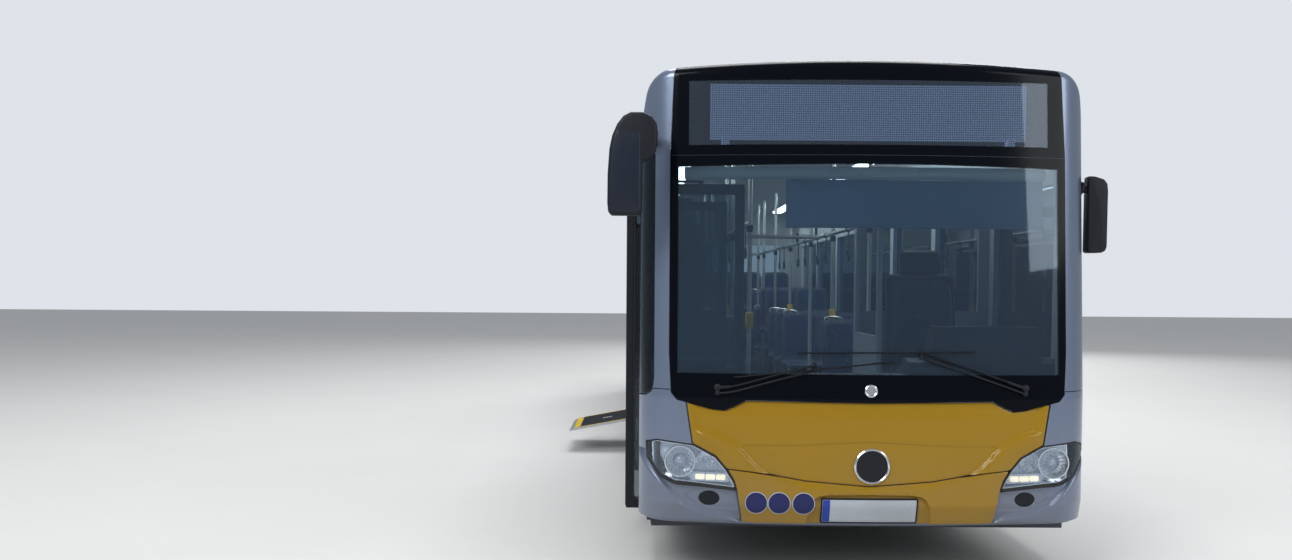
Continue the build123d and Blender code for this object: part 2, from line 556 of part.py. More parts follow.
def build_ramp():
    ramp_y0, ramp_y1 = RAMP_Y - RAMP_WIDTH / 2, RAMP_Y + RAMP_WIDTH / 2
    half = RAMP_PLATE / 2
    plate_low, plate_top = RAMP_HINGE_Z - half, RAMP_HINGE_Z + half
    plate = slab(RAMP_HINGE_X - RAMP_LENGTH + 60, RAMP_HINGE_X, ramp_y0, ramp_y1, plate_low, plate_top)
    tip = Pos(0, ramp_y1, 0) * extrude(
        Plane.XZ * make_face(Polyline((RAMP_HINGE_X - RAMP_LENGTH + 61, RAMP_HINGE_Z - half),
                                      (RAMP_HINGE_X - RAMP_LENGTH + 61, RAMP_HINGE_Z + half),
                                      (RAMP_HINGE_X - RAMP_LENGTH, RAMP_HINGE_Z - half + 4),
                                      (RAMP_HINGE_X - RAMP_LENGTH, RAMP_HINGE_Z - half), close=True)),
        amount=RAMP_WIDTH)
    knuckle = cylinder_y(RAMP_HINGE_X, ramp_y0, ramp_y1, RAMP_HINGE_Z, half)
    bores = [cylinder_y(RAMP_HINGE_X, ramp_y0 - 1, ramp_y0 + 45, RAMP_HINGE_Z, RAMP_PIN + SEAT_GAP),
             cylinder_y(RAMP_HINGE_X, ramp_y1 + 1, ramp_y1 - 45, RAMP_HINGE_Z, RAMP_PIN + SEAT_GAP)]
    ramp = (plate + tip + knuckle) - bores
    at_hinge = Pos(-RAMP_HINGE_X, 0, -RAMP_HINGE_Z) * ramp
    ramp = Pos(RAMP_HINGE_X, 0, RAMP_HINGE_Z) * (Rot(0, -RAMP_SLOPE, 0) * at_hinge)
    add("ramp", ramp)


def build_doors():
    number = 0
    for jamb_y, floor_z in ((FRONT_DOOR_Y, ENTRY_Z), (MIDDLE_DOOR_Y, FLOOR_Z)):
        for sense in (1, -1):
            number += 1
            base_y = jamb_y if sense > 0 else jamb_y + DOOR_WIDTH
            z0, z1 = floor_z + LEAF_RAISE, LEAF_TOP_Z

            def y_of(distance):
                return base_y + sense * distance

            post_y = y_of(-POST_SETBACK)
            hinge_x, hinge_y = LEAF_TIP_X + LEAF_HINGE, y_of(LEAF_OPEN_Y)
            half = LEAF_THICKNESS / 2
            frame = slab(LEAF_TIP_X, LEAF_TIP_X + LEAF_WIDTH, hinge_y - half, hinge_y + half, z0, z1)
            hole_x = (LEAF_TIP_X + LEAF_STILE, LEAF_TIP_X + LEAF_WIDTH - LEAF_STILE)
            hole = slab(*hole_x, hinge_y - half - 1, hinge_y + half + 1, z0 + LEAF_RAIL, z1 - LEAF_RAIL)
            seat = slab(hole_x[0] - 12, hole_x[1] + 12, hinge_y - sense * half,
                        hinge_y - sense * (half - LEAF_PANE - 2),
                        z0 + LEAF_RAIL - 12, z1 - LEAF_RAIL + 12)
            pins = [cylinder_z(hinge_x, hinge_y, z0 - 1, z0 + 32, ARM_PIN + SEAT_GAP),
                    cylinder_z(hinge_x, hinge_y, z1 - 32, z1 + 1, ARM_PIN + SEAT_GAP)]
            rail_x = (LEAF_TIP_X + 140, LEAF_TIP_X + LEAF_WIDTH - 90)
            rail_y = hinge_y + sense * (half + 45)
            rail = [cylinder_x(rail_x[0], rail_x[1], rail_y, LEAF_RAIL_Z, 14)]
            for x in rail_x:
                end = x + 14 if x == rail_x[0] else x - 14
                rail.append(cylinder_y(end, hinge_y + sense * (half - 1), rail_y, LEAF_RAIL_Z, 12))
            cross = slab(LEAF_TIP_X + 20, LEAF_TIP_X + LEAF_WIDTH - 20, hinge_y + sense * (half - 16),
                         hinge_y + sense * half, LEAF_RAIL_Z - 30, LEAF_RAIL_Z + 30)
            add("leaf_%d" % number, frame - hole - seat + cross + rail - pins)
            pane_y = hinge_y - sense * (half - 1.5)
            add("leaf_glass_%d" % number,
                slab(hole_x[0] - 10, hole_x[1] + 10, pane_y, pane_y + sense * LEAF_PANE,
                     z0 + LEAF_RAIL - 10, z1 - LEAF_RAIL + 10))
            post = cylinder_z(POST_X, post_y, floor_z + SEAT_GAP, DOOR_TOP_Z - SEAT_GAP, POST_RADIUS)
            dx, dy = hinge_x - POST_X, hinge_y - post_y
            length = sqrt(dx ** 2 + dy ** 2)
            angle = degrees(atan2(dy, dx))
            arms = []
            heights = ((z0 - 18, z0 - 6, z0 - 7, z0 + 30), (z1 + 6, z1 + 20, z1 - 30, z1 + 7))
            for low, high, pin_low, pin_high in heights:
                bar = slab(0, length, -18, 18, low, high) + cylinder_z(length, 0, low, high, 18)
                bar = bar + cylinder_z(length, 0, pin_low, pin_high, ARM_PIN)
                arms.append(Pos(POST_X, post_y, 0) * (Rot(0, 0, angle) * bar))
            add("post_%d" % number, post + arms)


def spin(points, x, y, z, sense):
    """A ring turned about the X direction, from an outline of distance along X and radius."""
    face = make_face(Polyline(*[(radius, along) for along, radius in points], close=True))
    ring = revolve(Plane.XZ * face, Axis.Z, 360)
    return Pos(x, y, z) * (Rot(0, sense * 90, 0) * ring)


def tyre_solid(x, y, sense):
    """A tyre as a loft through rings of flats, the bore cut for its rim."""
    half = TYRE_WIDTH / 2
    rings = [(-share * half, radius) for share, radius in TYRE_RINGS]
    rings += [(share * half, radius) for share, radius in reversed(TYRE_RINGS)]
    turns = [radians(360 / TYRE_SIDES * k) for k in range(TYRE_SIDES)]
    sections = []
    for along, radius in rings:
        ring = make_face(Polyline(*[(radius * cos(turn), radius * sin(turn)) for turn in turns], close=True))
        sections.append(Pos(0, 0, along) * ring)
    tyre = loft(sections, ruled=True) - Cylinder(RIM_RADIUS + SEAT_GAP, 2 * TYRE_WIDTH)
    return Pos(x, y, AXLE_Z) * (Rot(0, sense * 90, 0) * tyre)


def rim_solid(x, y, sense):
    """A wheel: its barrel, and its disc that bulges outwards to the hub's face."""
    half = RIM_WIDTH / 2
    well = RIM_RADIUS - 34
    face = TWIN_SPACING / 2
    points = [(-half, RIM_RADIUS + 14), (-half + 12, RIM_RADIUS), (-50, RIM_RADIUS), (-36, well + 12),
              (36, well + 12), (50, RIM_RADIUS), (half - 12, RIM_RADIUS), (half, RIM_RADIUS + 14),
              (half, RIM_RADIUS - 12), (54, RIM_RADIUS - 12), (60, well - 12), (face, 180),
              (face, HUB_RADIUS - 2),
              (face - 16, HUB_RADIUS - 2), (face - 16, 168), (44, well - 12), (30, well), (-40, well),
              (-56, RIM_RADIUS - 12), (-half, RIM_RADIUS - 12)]
    ring = spin(points, x, y, AXLE_Z, sense)
    holes = []
    for i in range(HAND_HOLES):
        turn = radians(360 / HAND_HOLES * (i + 0.5))
        hole_y, hole_z = y + HAND_HOLE_RING * cos(turn), AXLE_Z + HAND_HOLE_RING * sin(turn)
        holes.append(cylinder_x(x + sense * 50, x + sense * face, hole_y, hole_z, HAND_HOLE_RADIUS))
    return ring - holes


def build_wheels():
    for sense, side in ((1, "left"), (-1, "right")):
        x = sense * FRONT_TRACK / 2
        add("front_tyre_" + side, tyre_solid(x, 0, sense))
        hub = cylinder_x(x + sense * 10, x + sense * HUB_REACH, 0, AXLE_Z, HUB_RADIUS)
        bore = cylinder_x(x, x + sense * (SPINDLE_REACH + 2), 0, AXLE_Z, SPINDLE_RADIUS + SEAT_GAP)
        add("front_rim_" + side, (rim_solid(x, 0, sense) + hub) - bore)
        tyres = []
        for step in (-1, 1):
            tyres.append(tyre_solid(sense * (REAR_TRACK / 2 + step * TWIN_SPACING / 2), WHEELBASE, sense))
        add("rear_tyres_" + side, tyres)
        middle = sense * REAR_TRACK / 2
        outer = rim_solid(middle + sense * TWIN_SPACING / 2, WHEELBASE, -sense)
        inner = rim_solid(middle - sense * TWIN_SPACING / 2, WHEELBASE, sense)
        hub = cylinder_x(middle - sense * 140, middle + sense * HUB_REACH, WHEELBASE, AXLE_Z, HUB_RADIUS)
        bore = cylinder_x(middle - sense * 141, middle + sense * (SPINDLE_REACH + 2), WHEELBASE, AXLE_Z,
                          SPINDLE_RADIUS + SEAT_GAP)
        add("rear_rims_" + side, (outer + inner + hub) - bore)


def build_axles():
    pin_x = FRONT_TRACK / 2 - KINGPIN_OFFSET
    fist_low, fist_top = AXLE_Z - FIST_HALF_HEIGHT, AXLE_Z + FIST_HALF_HEIGHT
    beam = slab(-640, 640, -55, 55, 175, 235)
    for sense in (1, -1):
        beam = beam + slab(sense * 575, sense * 640, -55, 55, 175, 560)
        beam = beam + slab(sense * 630, sense * pin_x, -FIST_RADIUS + 2, FIST_RADIUS - 2, fist_low, fist_top)
        beam = beam + cylinder_z(sense * pin_x, 0, fist_low, fist_top, FIST_RADIUS)
        beam = beam + cylinder_z(sense * pin_x, 0, AXLE_Z - 120, AXLE_Z + 120, KINGPIN_RADIUS)
        beam = beam + slab(sense * 400, sense * 440, 40, 900, 200, 240)
        beam = beam + slab(sense * 395, sense * 445, 840, 900, 239, RAIL_LOW_Z - SEAT_GAP)
        ears = slab(sense * (pin_x - 40), sense * (pin_x + 60), -50, 50, AXLE_Z - 105, AXLE_Z + 105)
        ears = ears - slab(sense * (pin_x - 50), sense * (pin_x + KNUCKLE_WEB), -60, 60, fist_low - SEAT_GAP,
                           fist_top + SEAT_GAP)
        ears = ears - cylinder_z(sense * pin_x, 0, AXLE_Z - 130, AXLE_Z + 130, KINGPIN_RADIUS + SEAT_GAP)
        spindle_end = FRONT_TRACK / 2 + SPINDLE_REACH
        spindle = cylinder_x(sense * (pin_x + 50), sense * spindle_end, 0, AXLE_Z, SPINDLE_RADIUS)
        drum = cylinder_x(sense * (pin_x + 59), sense * (pin_x + 85), 0, AXLE_Z, 60)
        arm = slab(sense * (pin_x - 30), sense * (pin_x + 10), 45, 190, AXLE_Z - 100, AXLE_Z - 70)
        add("knuckle_left" if sense > 0 else "knuckle_right", ears + spindle + drum + arm)
    add("front_axle", beam)
    rear = slab(-616, 616, WHEELBASE - 70, WHEELBASE + 70, 175, 235)
    for sense in (1, -1):
        spindle_end = REAR_TRACK / 2 + SPINDLE_REACH
        rear = rear + slab(sense * 596, sense * 616, WHEELBASE - 70, WHEELBASE + 70, 175, 560)
        rear = rear + cylinder_x(sense * 600, sense * spindle_end, WHEELBASE, AXLE_Z, SPINDLE_RADIUS)
        rear = rear + slab(sense * 400, sense * 440, WHEELBASE - 900, WHEELBASE - 60, 200, 240)
        rod_end = WHEELBASE - 840
        rear = rear + slab(sense * 395, sense * 445, WHEELBASE - 900, rod_end, 239, RAIL_LOW_Z - SEAT_GAP)
    diff = slab(-180, 180, WHEELBASE - 160, WHEELBASE + 200, 150, 260)
    shaft = cylinder_y(0, WHEELBASE + 190, 7960 - SEAT_GAP, 218, 36)
    add("rear_axle", rear + diff + shaft)


def build_underframe():
    low = RAIL_LOW_Z
    top = FLOOR_Z - FLOOR_SLAB - SEAT_GAP
    step = ENTRY_Z - FLOOR_SLAB - SEAT_GAP
    rail = [(FRAME_FRONT_Y, step), (SLOPE_LOW_Y, step), (SLOPE_TOP_Y, top), (9000, top), (9000, low),
            (SLOPE_TOP_Y - 10, low), (SLOPE_LOW_Y, low - 40), (FRAME_FRONT_Y, low - 40)]
    frame = []
    for sense in (1, -1):
        frame.append(side_profile(rail, sense * 395, sense * 445))
    for y in CROSS_MEMBERS:
        z0, z1 = (low - 40, step) if y < -880 else (low, top)
        frame.append(slab(-1200, 1200, y - 25, y + 25, z0, z1))
    for sense in (1, -1):
        jack_x = sense * JACK_X
        frame.append(slab(jack_x - JACK_HALF, jack_x + JACK_HALF, JACK_Y - JACK_HALF, JACK_Y + JACK_HALF,
                          low - JACK_DEPTH, low))
    shape = frame[0]
    for piece in frame[1:]:
        shape = shape + piece
    add("underframe", shape)
    base = FLOOR_Z - FLOOR_SLAB
    block = slab(-420, 420, 8110, 8960, base, 840) + slab(-300, 300, 7960, 8120, base, 540)
    add("engine", block + slab(-150, 150, 7960, 8100, 175, base + 1))


def seat_shell(width, footed):
    """A passenger seat's moulded shell at the origin, its floor at Z 0, and its foot."""
    shell = side_profile(SEAT_PROFILE, -width / 2, width / 2)
    face = make_face(Polyline((-width / 2, 0), (width / 2, 0), (width / 2, 930), (width / 2 - 20, 985),
                              (width / 2 - 75, 1012), (75 - width / 2, 1012), (20 - width / 2, 985),
                              (-width / 2, 930), close=True))
    shell = shell & (Pos(0, 600, 0) * extrude(Plane.XZ * face, amount=800))
    return shell + slab(-30, 30, 120, 260, SEAT_GAP, 404) if footed else shell


def build_saloon():
    seats = []
    footed = seat_shell(SEAT_WIDTH, True)
    low_seat = seat_shell(BOX_SEAT_WIDTH, False)
    for side in (1, -1):
        for y in SEAT_ROWS[side]:
            for x in SEAT_X:
                seats.append(Pos(side * x, y, STEP_Z if y > STEP_Y else FLOOR_Z) * footed)
        for y in BOX_ROWS:
            bench = slab(side * 590, side * 1210, y + 70, y + 330, BOX_TOP_Z + SEAT_GAP, BOX_TOP_Z + 30)
            for x in BOX_SEAT_X:
                bench = bench + Pos(side * x, y, BOX_TOP_Z - BOX_SEAT_DROP) * low_seat
            seats.append(bench)
    for x in REAR_SEAT_X:
        seats.append(Pos(x, REAR_SEAT_Y, DECK_Z) * footed)
    add("passenger_seats", seats)

    rails = []
    seat_depth = max(y for y, z in SEAT_PROFILE)
    for side in (1, -1):
        rails.append(cylinder_y(side * POLE_X, -500, 7380, GRAB_Z, POLE_RADIUS))
        behind = [SEAT_ROWS[side][row] + seat_depth + POLE_GAP + POLE_RADIUS for row in POLE_ROWS]
        for y in FREE_POLES[side] + behind:
            z0 = STEP_Z if y > STEP_Y else FLOOR_Z
            rails.append(cylinder_z(side * POLE_X, y, z0 + SEAT_GAP, 2870, POLE_RADIUS))
    for y in (1800, 7380):
        rails.append(cylinder_x(-POLE_X, POLE_X, y, GRAB_Z, POLE_RADIUS))
    add("grab_rails", rails[0].fuse(*rails[1:]))


def build_cab():
    edge = HALF_WIDTH - WALL - SEAT_GAP
    base = CAB_Z + SEAT_GAP
    front = FLOOR_FRONT_Y
    dash = side_profile([(front, base), (front, 1180), (-2400, 1230), (-2280, 1250), (-2140, 1160),
                         (-2180, 1000), (-2300, 960), (-2300, base)], 300, edge - 5)
    hood = side_profile([(-2420, 1200), (-2430, 1380), (-2390, 1440), (-2300, 1440), (-2215, 1350),
                         (-2200, 1150)], 440, 1060)
    column = Pos(0, 0, -180 - SEAT_GAP) * Cylinder(40, 280)
    column = Pos(*STEER_PLACE) * (Rot(STEER_TILT, 0, 0) * column)
    console = slab(DRIVER_X - 70, DRIVER_X + 70, -2310, -2050, 880, 1110)
    wing_top = [(front, SHELF_Z + SHELF_THICK), (-2330, 1160), (-2300, 1100)]
    wing = side_profile([(front, base), *wing_top, (-2330, base)], -420, 300)
    wing = wing + slab(-420, CAB_X - SEAT_GAP, front, -2330, ENTRY_Z + SEAT_GAP, CAB_Z + 1)
    shelf = hull(SHELF_INSET) & slab(-1400, 1400, FRONT_Y, front, SHELF_Z, SHELF_Z + SHELF_THICK)
    add("dashboard", [dash + hood + (console + column), wing, shelf])

    wheel = Torus(225, 15)
    for turn in (90, 210, 330):
        wheel = wheel + Rot(0, 0, turn) * (Pos(112, 0, -6) * Box(215, 34, 10))
    wheel = wheel + Pos(0, 0, -18) * Cylinder(52, 44)
    add("steering_wheel", Pos(*STEER_PLACE) * (Rot(STEER_TILT, 0, 0) * wheel))

    back_place = Pos(DRIVER_X, -1130, CAB_Z + 450) * Rot(-10, 0, 0)
    seat = rounded_slab(DRIVER_X - 250, DRIVER_X + 250, -1640, -1160, CAB_Z + 330, CAB_Z + 450, 40)
    back = back_place * rounded_slab(-240, 240, -55, 55, -115, 680, 40)
    head = back_place * rounded_slab(-140, 140, -55, 35, 670, 850, 35)
    neck = back_place * slab(-60, 60, -25, 10, 640, 700)
    foot = slab(DRIVER_X - 130, DRIVER_X + 130, -1520, -1260, base, CAB_Z + 340)
    add("driver_seat", seat + back + neck + head + foot)

    wall = slab(CAB_X, CAB_X + 30, -1700, -902, base, 2150)
    rear = slab(CAB_X, edge - 5, -932, -902, base, 2250)
    window = slab(CAB_X - 5, CAB_X + 35, -1660, -980, 1350, 2100)
    rear_window = slab(CAB_X + 80, edge - 80, -950, -880, 1500, 2180)
    add("cab_partition", wall + rear - window - rear_window)


def build_outside():
    across = mirrored([(0, ROOF_TOP_Z), (UNIT_HALF - 90, ROOF_TOP_Z), (UNIT_HALF, ROOF_TOP_Z - 90),
                       (UNIT_HALF, 2850), (0, 2850)])
    along = [(UNIT_Y0, 2850), (UNIT_Y0, 2960), (UNIT_Y0 + 140, ROOF_TOP_Z),
             (UNIT_Y1 - 140, ROOF_TOP_Z), (UNIT_Y1, 2960), (UNIT_Y1, 2850)]
    unit = side_profile(along, -UNIT_HALF, UNIT_HALF)
    add("air_conditioner", (unit & front_prism(across, 0, UNIT_Y0 - 10, UNIT_Y1 + 10)) - OUTER)
    hatches = [rounded_slab(-380, 380, y - 300, y + 300, 2850, 2985, 25) - OUTER for y in HATCHES]
    add("roof_hatches", hatches)

    head = front_prism(MIRROR_HEAD, 0, MIRROR_FRONT_Y, MIRROR_FRONT_Y + MIRROR_DEPTH)
    head = fillet(head.faces().sort_by(Axis.Y)[0].edges() + head.faces().sort_by(Axis.Y)[-1].edges(), 14)
    arm = front_prism(MIRROR_ARM, 0, MIRROR_FRONT_Y + 20, -2480) - OUTER
    kerb_mirror = (head + arm).solids().sort_by(SortBy.VOLUME)[-1]
    road_mirror = rounded_slab(1295, 1428, -2480, -2390, 1872, 2318, 26)
    road_mirror = road_mirror + (slab(1260, 1330, -2460, -2420, 2230, 2280) - OUTER)
    add("mirrors", [kerb_mirror, road_mirror])

    blade_shell = hull(-16) - hull(-SEAT_GAP)
    wipers = []
    for (ax, az), (bx, bz), (cx, cz), (dx, dz) in WIPERS:
        arm = bar_outline(ax, az, bx, bz, 22)
        blade = bar_outline(cx, cz, dx, dz, 14)
        wipers.append((blade_shell & front_prism(arm)) + (blade_shell & front_prism(blade)))
    add("wipers", wipers)

    board = slab(-885, 885, -2592, -2562, 2490, 2800)
    for sense in (1, -1):
        board = board + slab(sense * 780, sense * 820, -2616, -2562, MASK_SPLIT_Z + 30 + SEAT_GAP, 2500)
    add("display_board", board)


def bar_outline(x0, z0, x1, z1, width):
    """The outline of a straight bar between two points."""
    length = sqrt((x1 - x0) ** 2 + (z1 - z0) ** 2)
    nx, nz = -(z1 - z0) / length * width / 2, (x1 - x0) / length * width / 2
    return [(x0 + nx, z0 + nz), (x1 + nx, z1 + nz), (x1 - nx, z1 - nz), (x0 - nx, z0 - nz)]


build_front()
build_shell()
build_floor()
build_ramp()
build_doors()
build_wheels()
build_axles()
build_underframe()
build_saloon()
build_cab()
build_outside()

os.makedirs("parts", exist_ok=True)
for name, shape in parts.items():
    export_step(shape, "parts/" + name + ".step")
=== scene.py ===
# %% [markdown]
# # A low-floor city bus around its CAD frame
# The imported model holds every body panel, wheel, door and seat at its true size, and it loads as a
# fixed frame. This lesson gives that frame its paint, glass, lamps, cloth and small fittings. Each
# piece rides on the CAD body that carries it, so doors, ramp, flaps and wheels take theirs along.

# %% Load the frame
from math import asin, atan2, cos, hypot, pi, radians, sin, sqrt

import bmesh
import bpy
import numpy as np
from mathutils import Matrix, Vector
from mathutils.geometry import delaunay_2d_cdt


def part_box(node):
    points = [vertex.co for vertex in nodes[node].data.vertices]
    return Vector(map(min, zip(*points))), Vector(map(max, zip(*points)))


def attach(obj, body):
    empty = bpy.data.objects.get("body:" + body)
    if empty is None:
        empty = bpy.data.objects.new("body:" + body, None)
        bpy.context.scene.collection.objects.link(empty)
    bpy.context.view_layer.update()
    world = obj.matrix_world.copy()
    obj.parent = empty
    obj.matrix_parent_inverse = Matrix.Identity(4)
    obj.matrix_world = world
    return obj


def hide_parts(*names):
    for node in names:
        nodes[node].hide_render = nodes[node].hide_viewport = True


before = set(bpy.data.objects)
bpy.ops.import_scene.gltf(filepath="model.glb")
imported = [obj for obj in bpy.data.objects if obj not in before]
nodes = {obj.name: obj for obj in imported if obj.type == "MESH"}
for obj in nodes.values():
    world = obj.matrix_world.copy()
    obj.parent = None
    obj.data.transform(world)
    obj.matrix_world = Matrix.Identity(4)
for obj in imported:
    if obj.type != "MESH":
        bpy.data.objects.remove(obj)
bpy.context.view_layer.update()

# %% [markdown]
# ## Camera
# The photograph was taken at eye height, six metres ahead of the bumper and almost in line with
# the kerb side. Its focal length in pixels gives the lens, and the picture's centre lies above
# the optical axis, which a small vertical shift repeats.

# %% Place the camera
SENSOR_WIDTH = 36
PHOTO_WIDTH = 1292
FOCAL_PIXELS = 1100
AXIS_BELOW_CENTRE = 55
CAMERA_PLACE = (-1.266, -8.805, 1.66)
CAMERA_PITCH_DOWN = 2.5
CAMERA_YAW_RIGHT = 0.26
CAMERA_ROLL = 0.4

camera_data = bpy.data.cameras.new("camera")
camera_data.sensor_width = SENSOR_WIDTH
camera_data.lens = SENSOR_WIDTH * FOCAL_PIXELS / PHOTO_WIDTH
camera_data.shift_y = AXIS_BELOW_CENTRE / PHOTO_WIDTH
camera = bpy.data.objects.new("camera", camera_data)
bpy.context.scene.collection.objects.link(camera)


def turned_by(angle, axis):
    """A rotation in degrees about one axis."""
    return Matrix.Rotation(radians(angle), 4, axis)


aim = turned_by(-CAMERA_YAW_RIGHT, "Z") @ turned_by(90 - CAMERA_PITCH_DOWN, "X")
camera.matrix_world = Matrix.Translation(CAMERA_PLACE) @ aim @ turned_by(CAMERA_ROLL, "Z")
bpy.context.scene.camera = camera
print("lens", round(camera_data.lens, 2), "mm")

# %% [markdown]
# ## Shader helpers
# A finish is a small tree of nodes. Wrapping a socket in a class with arithmetic lets the shader
# maths read as plain expressions, and one method makes every other node. The alternative, wiring
# each Math node by hand, hides a simple formula behind a page of links.


# %% Sockets with arithmetic
class Signal:
    """A value in a shader: an output socket on which + - * / > and < add Math nodes."""

    def __init__(self, finish, socket):
        self.finish = finish
        self.socket = socket

    def maths(self, operation, *values):
        made = self.finish.node("Math", dict(enumerate(values)), operation=operation)
        return Signal(self.finish, made.outputs[0])

    def __add__(self, other):
        return self.maths("ADD", self, other)

    def __sub__(self, other):
        return self.maths("SUBTRACT", self, other)

    def __rsub__(self, other):
        return self.maths("SUBTRACT", other, self)

    def __mul__(self, other):
        return self.maths("MULTIPLY", self, other)

    def __truediv__(self, other):
        return self.maths("DIVIDE", self, other)

    def __gt__(self, other):
        return self.maths("GREATER_THAN", self, other)

    def __lt__(self, other):
        return self.maths("LESS_THAN", self, other)

    __radd__ = __add__
    __rmul__ = __mul__

    def absolute(self):
        return self.maths("ABSOLUTE", self)

    def fraction(self):
        return self.maths("FRACT", self)

    def sine(self):
        return self.maths("SINE", self)

    def either(self, other):
        """The larger of two masks."""
        return self.maths("MAXIMUM", self, other)

    def between(self, low, high):
        """0 at low and 1 at high, held outside them."""
        made = self.finish.node("MapRange", {0: self, 1: low, 2: high}, interpolation_type="SMOOTHSTEP")
        return Signal(self.finish, made.outputs[0])


# %% A material under construction
class Finish:
    """A material whose nodes are made one after another."""

    def __init__(self, name):
        self.material = bpy.data.materials.new(name)
        self.material.use_nodes = True
        self.tree = self.material.node_tree
        self.tree.nodes.clear()
        self.place = Signal(self, self.node("TexCoord").outputs["Object"])

    def node(self, kind, sockets=None, **settings):
        """A node of one type, its settings made first and then its values and links."""
        made = self.tree.nodes.new("ShaderNode" + kind)
        for name, value in settings.items():
            setattr(made, name, value)
        for key, value in (sockets or {}).items():
            target = made.inputs[key]
            if isinstance(value, Signal):
                self.tree.links.new(value.socket, target)
            elif target.type == "RGBA":
                target.default_value = (*value, 1)
            else:
                target.default_value = value
        return made

    def axes(self):
        split = self.node("SeparateXYZ", {0: self.place})
        return [Signal(self, split.outputs[i]) for i in range(3)]

    def facing_in(self, axis_z=1.5, front_y=-1.8, rear_y=8.3):
        """1 on faces that look towards the saloon's long axis, 0 on those that look out."""
        geometry = self.node("NewGeometry")
        normal = self.node("SeparateXYZ", {0: Signal(self, geometry.outputs["True Normal"])})
        x, y, z = self.axes()
        nearest = self.node("Clamp", {0: y, 1: front_y, 2: rear_y})
        away = [x, y - Signal(self, nearest.outputs[0]), z - axis_z]
        parts = [Signal(self, normal.outputs[i]) * away[i] for i in range(3)]
        return (parts[0] + parts[1] + parts[2]) < 0.0

    def noise(self, scale, detail=2, roughness=0.5, stretch=None):
        where = self.place
        if stretch:
            where = Signal(self, self.node("Mapping", {"Vector": self.place, "Scale": stretch}).outputs[0])
        made = self.node("TexNoise", {"Vector": where, "Scale": scale, "Detail": detail,
                                      "Roughness": roughness})
        return Signal(self, made.outputs["Fac"])

    def speckle(self, scale):
        """The distance to the nearest of scattered points."""
        made = self.node("TexVoronoi", {"Vector": self.place, "Scale": scale})
        return Signal(self, made.outputs["Distance"])

    def mix(self, amount, low, high):
        """A colour between two others."""
        made = self.node("Mix", {0: amount, 6: low, 7: high}, data_type="RGBA")
        return Signal(self, made.outputs[2])

    def bump(self, height, strength, distance):
        made = self.node("Bump", {"Height": height, "Strength": strength, "Distance": distance})
        return Signal(self, made.outputs[0])

    def principled(self, colour, roughness, **more):
        """The standard surface. Extra sockets are given by name: coat_weight is Coat Weight."""
        named = {name.replace("_", " ").title().replace("Ior", "IOR"): value for name, value in more.items()}
        made = self.node("BsdfPrincipled", {"Base Color": colour, "Roughness": roughness, **named})
        return Signal(self, made.outputs[0])

    def blend(self, amount, low, high):
        """One shader over another."""
        return Signal(self, self.node("MixShader", {0: amount, 1: low, 2: high}).outputs[0])

    def done(self, shader):
        self.node("OutputMaterial", {"Surface": shader})
        return self.material


def linear(red, green, blue):
    """A colour as a paint chart gives it, 0 to 255, as the linear values that shaders use."""
    channels = [c / 255 for c in (red, green, blue)]
    return tuple(c / 12.92 if c <= 0.04045 else ((c + 0.055) / 1.055) ** 2.4 for c in channels)


# %% [markdown]
# ## Floor and light
# A plain pale floor and one large soft lamp on each side of the front stand for a studio. The world
# is dimmer for the object than for the camera, so the picture's background is pale while shaded
# sides keep their depth. Mirrored rays meet a dimmer sky still, which keeps dark glass dark.

# %% Build the stage
FLOOR_SIZE = 120.0

floor_mesh = bpy.data.meshes.new("studio_floor")
half = FLOOR_SIZE / 2
floor_mesh.from_pydata([(-half, -half, 0), (half, -half, 0), (half, half, 0), (-half, half, 0)], [],
                       [(0, 1, 2, 3)])
studio_floor = bpy.data.objects.new("studio_floor", floor_mesh)
bpy.context.scene.collection.objects.link(studio_floor)

# %% Colour the floor and the world
floor_finish = Finish("studio_floor")
floor_tone = floor_finish.mix(floor_finish.noise(0.7, 3), (0.62, 0.62, 0.61), (0.66, 0.66, 0.65))
floor_mesh.materials.append(floor_finish.done(floor_finish.principled(floor_tone, 0.75)))

WORLD_LIGHT = 0.52
WORLD_SEEN = 0.82
WORLD_MIRRORED = 0.34
world = bpy.data.worlds.new("studio")
bpy.context.scene.world = world
world.use_nodes = True
sky = world.node_tree.nodes
sky.clear()
rays = sky.new("ShaderNodeLightPath")


def background(colour, strength):
    made = sky.new("ShaderNodeBackground")
    made.inputs[0].default_value = (*colour, 1)
    made.inputs[1].default_value = strength
    return made


pale = background((0.90, 0.94, 1.0), WORLD_SEEN)
dim = background((0.93, 0.96, 1.0), WORLD_LIGHT)
mirrored_sky = background((0.80, 0.90, 1.0), WORLD_MIRRORED)
by_glossy = sky.new("ShaderNodeMixShader")
seen = sky.new("ShaderNodeMath")
seen.operation = "MAXIMUM"
by_sight = sky.new("ShaderNodeMixShader")
world_out = sky.new("ShaderNodeOutputWorld")
wire = world.node_tree.links.new
wire(rays.outputs["Is Glossy Ray"], by_glossy.inputs[0])
wire(dim.outputs[0], by_glossy.inputs[1])
wire(mirrored_sky.outputs[0], by_glossy.inputs[2])
wire(rays.outputs["Is Camera Ray"], seen.inputs[0])
wire(rays.outputs["Is Transmission Ray"], seen.inputs[1])
wire(seen.outputs[0], by_sight.inputs[0])
wire(by_glossy.outputs[0], by_sight.inputs[1])
wire(pale.outputs[0], by_sight.inputs[2])
wire(by_sight.outputs[0], world_out.inputs[0])
bpy.context.scene.view_settings.view_transform = "Standard"

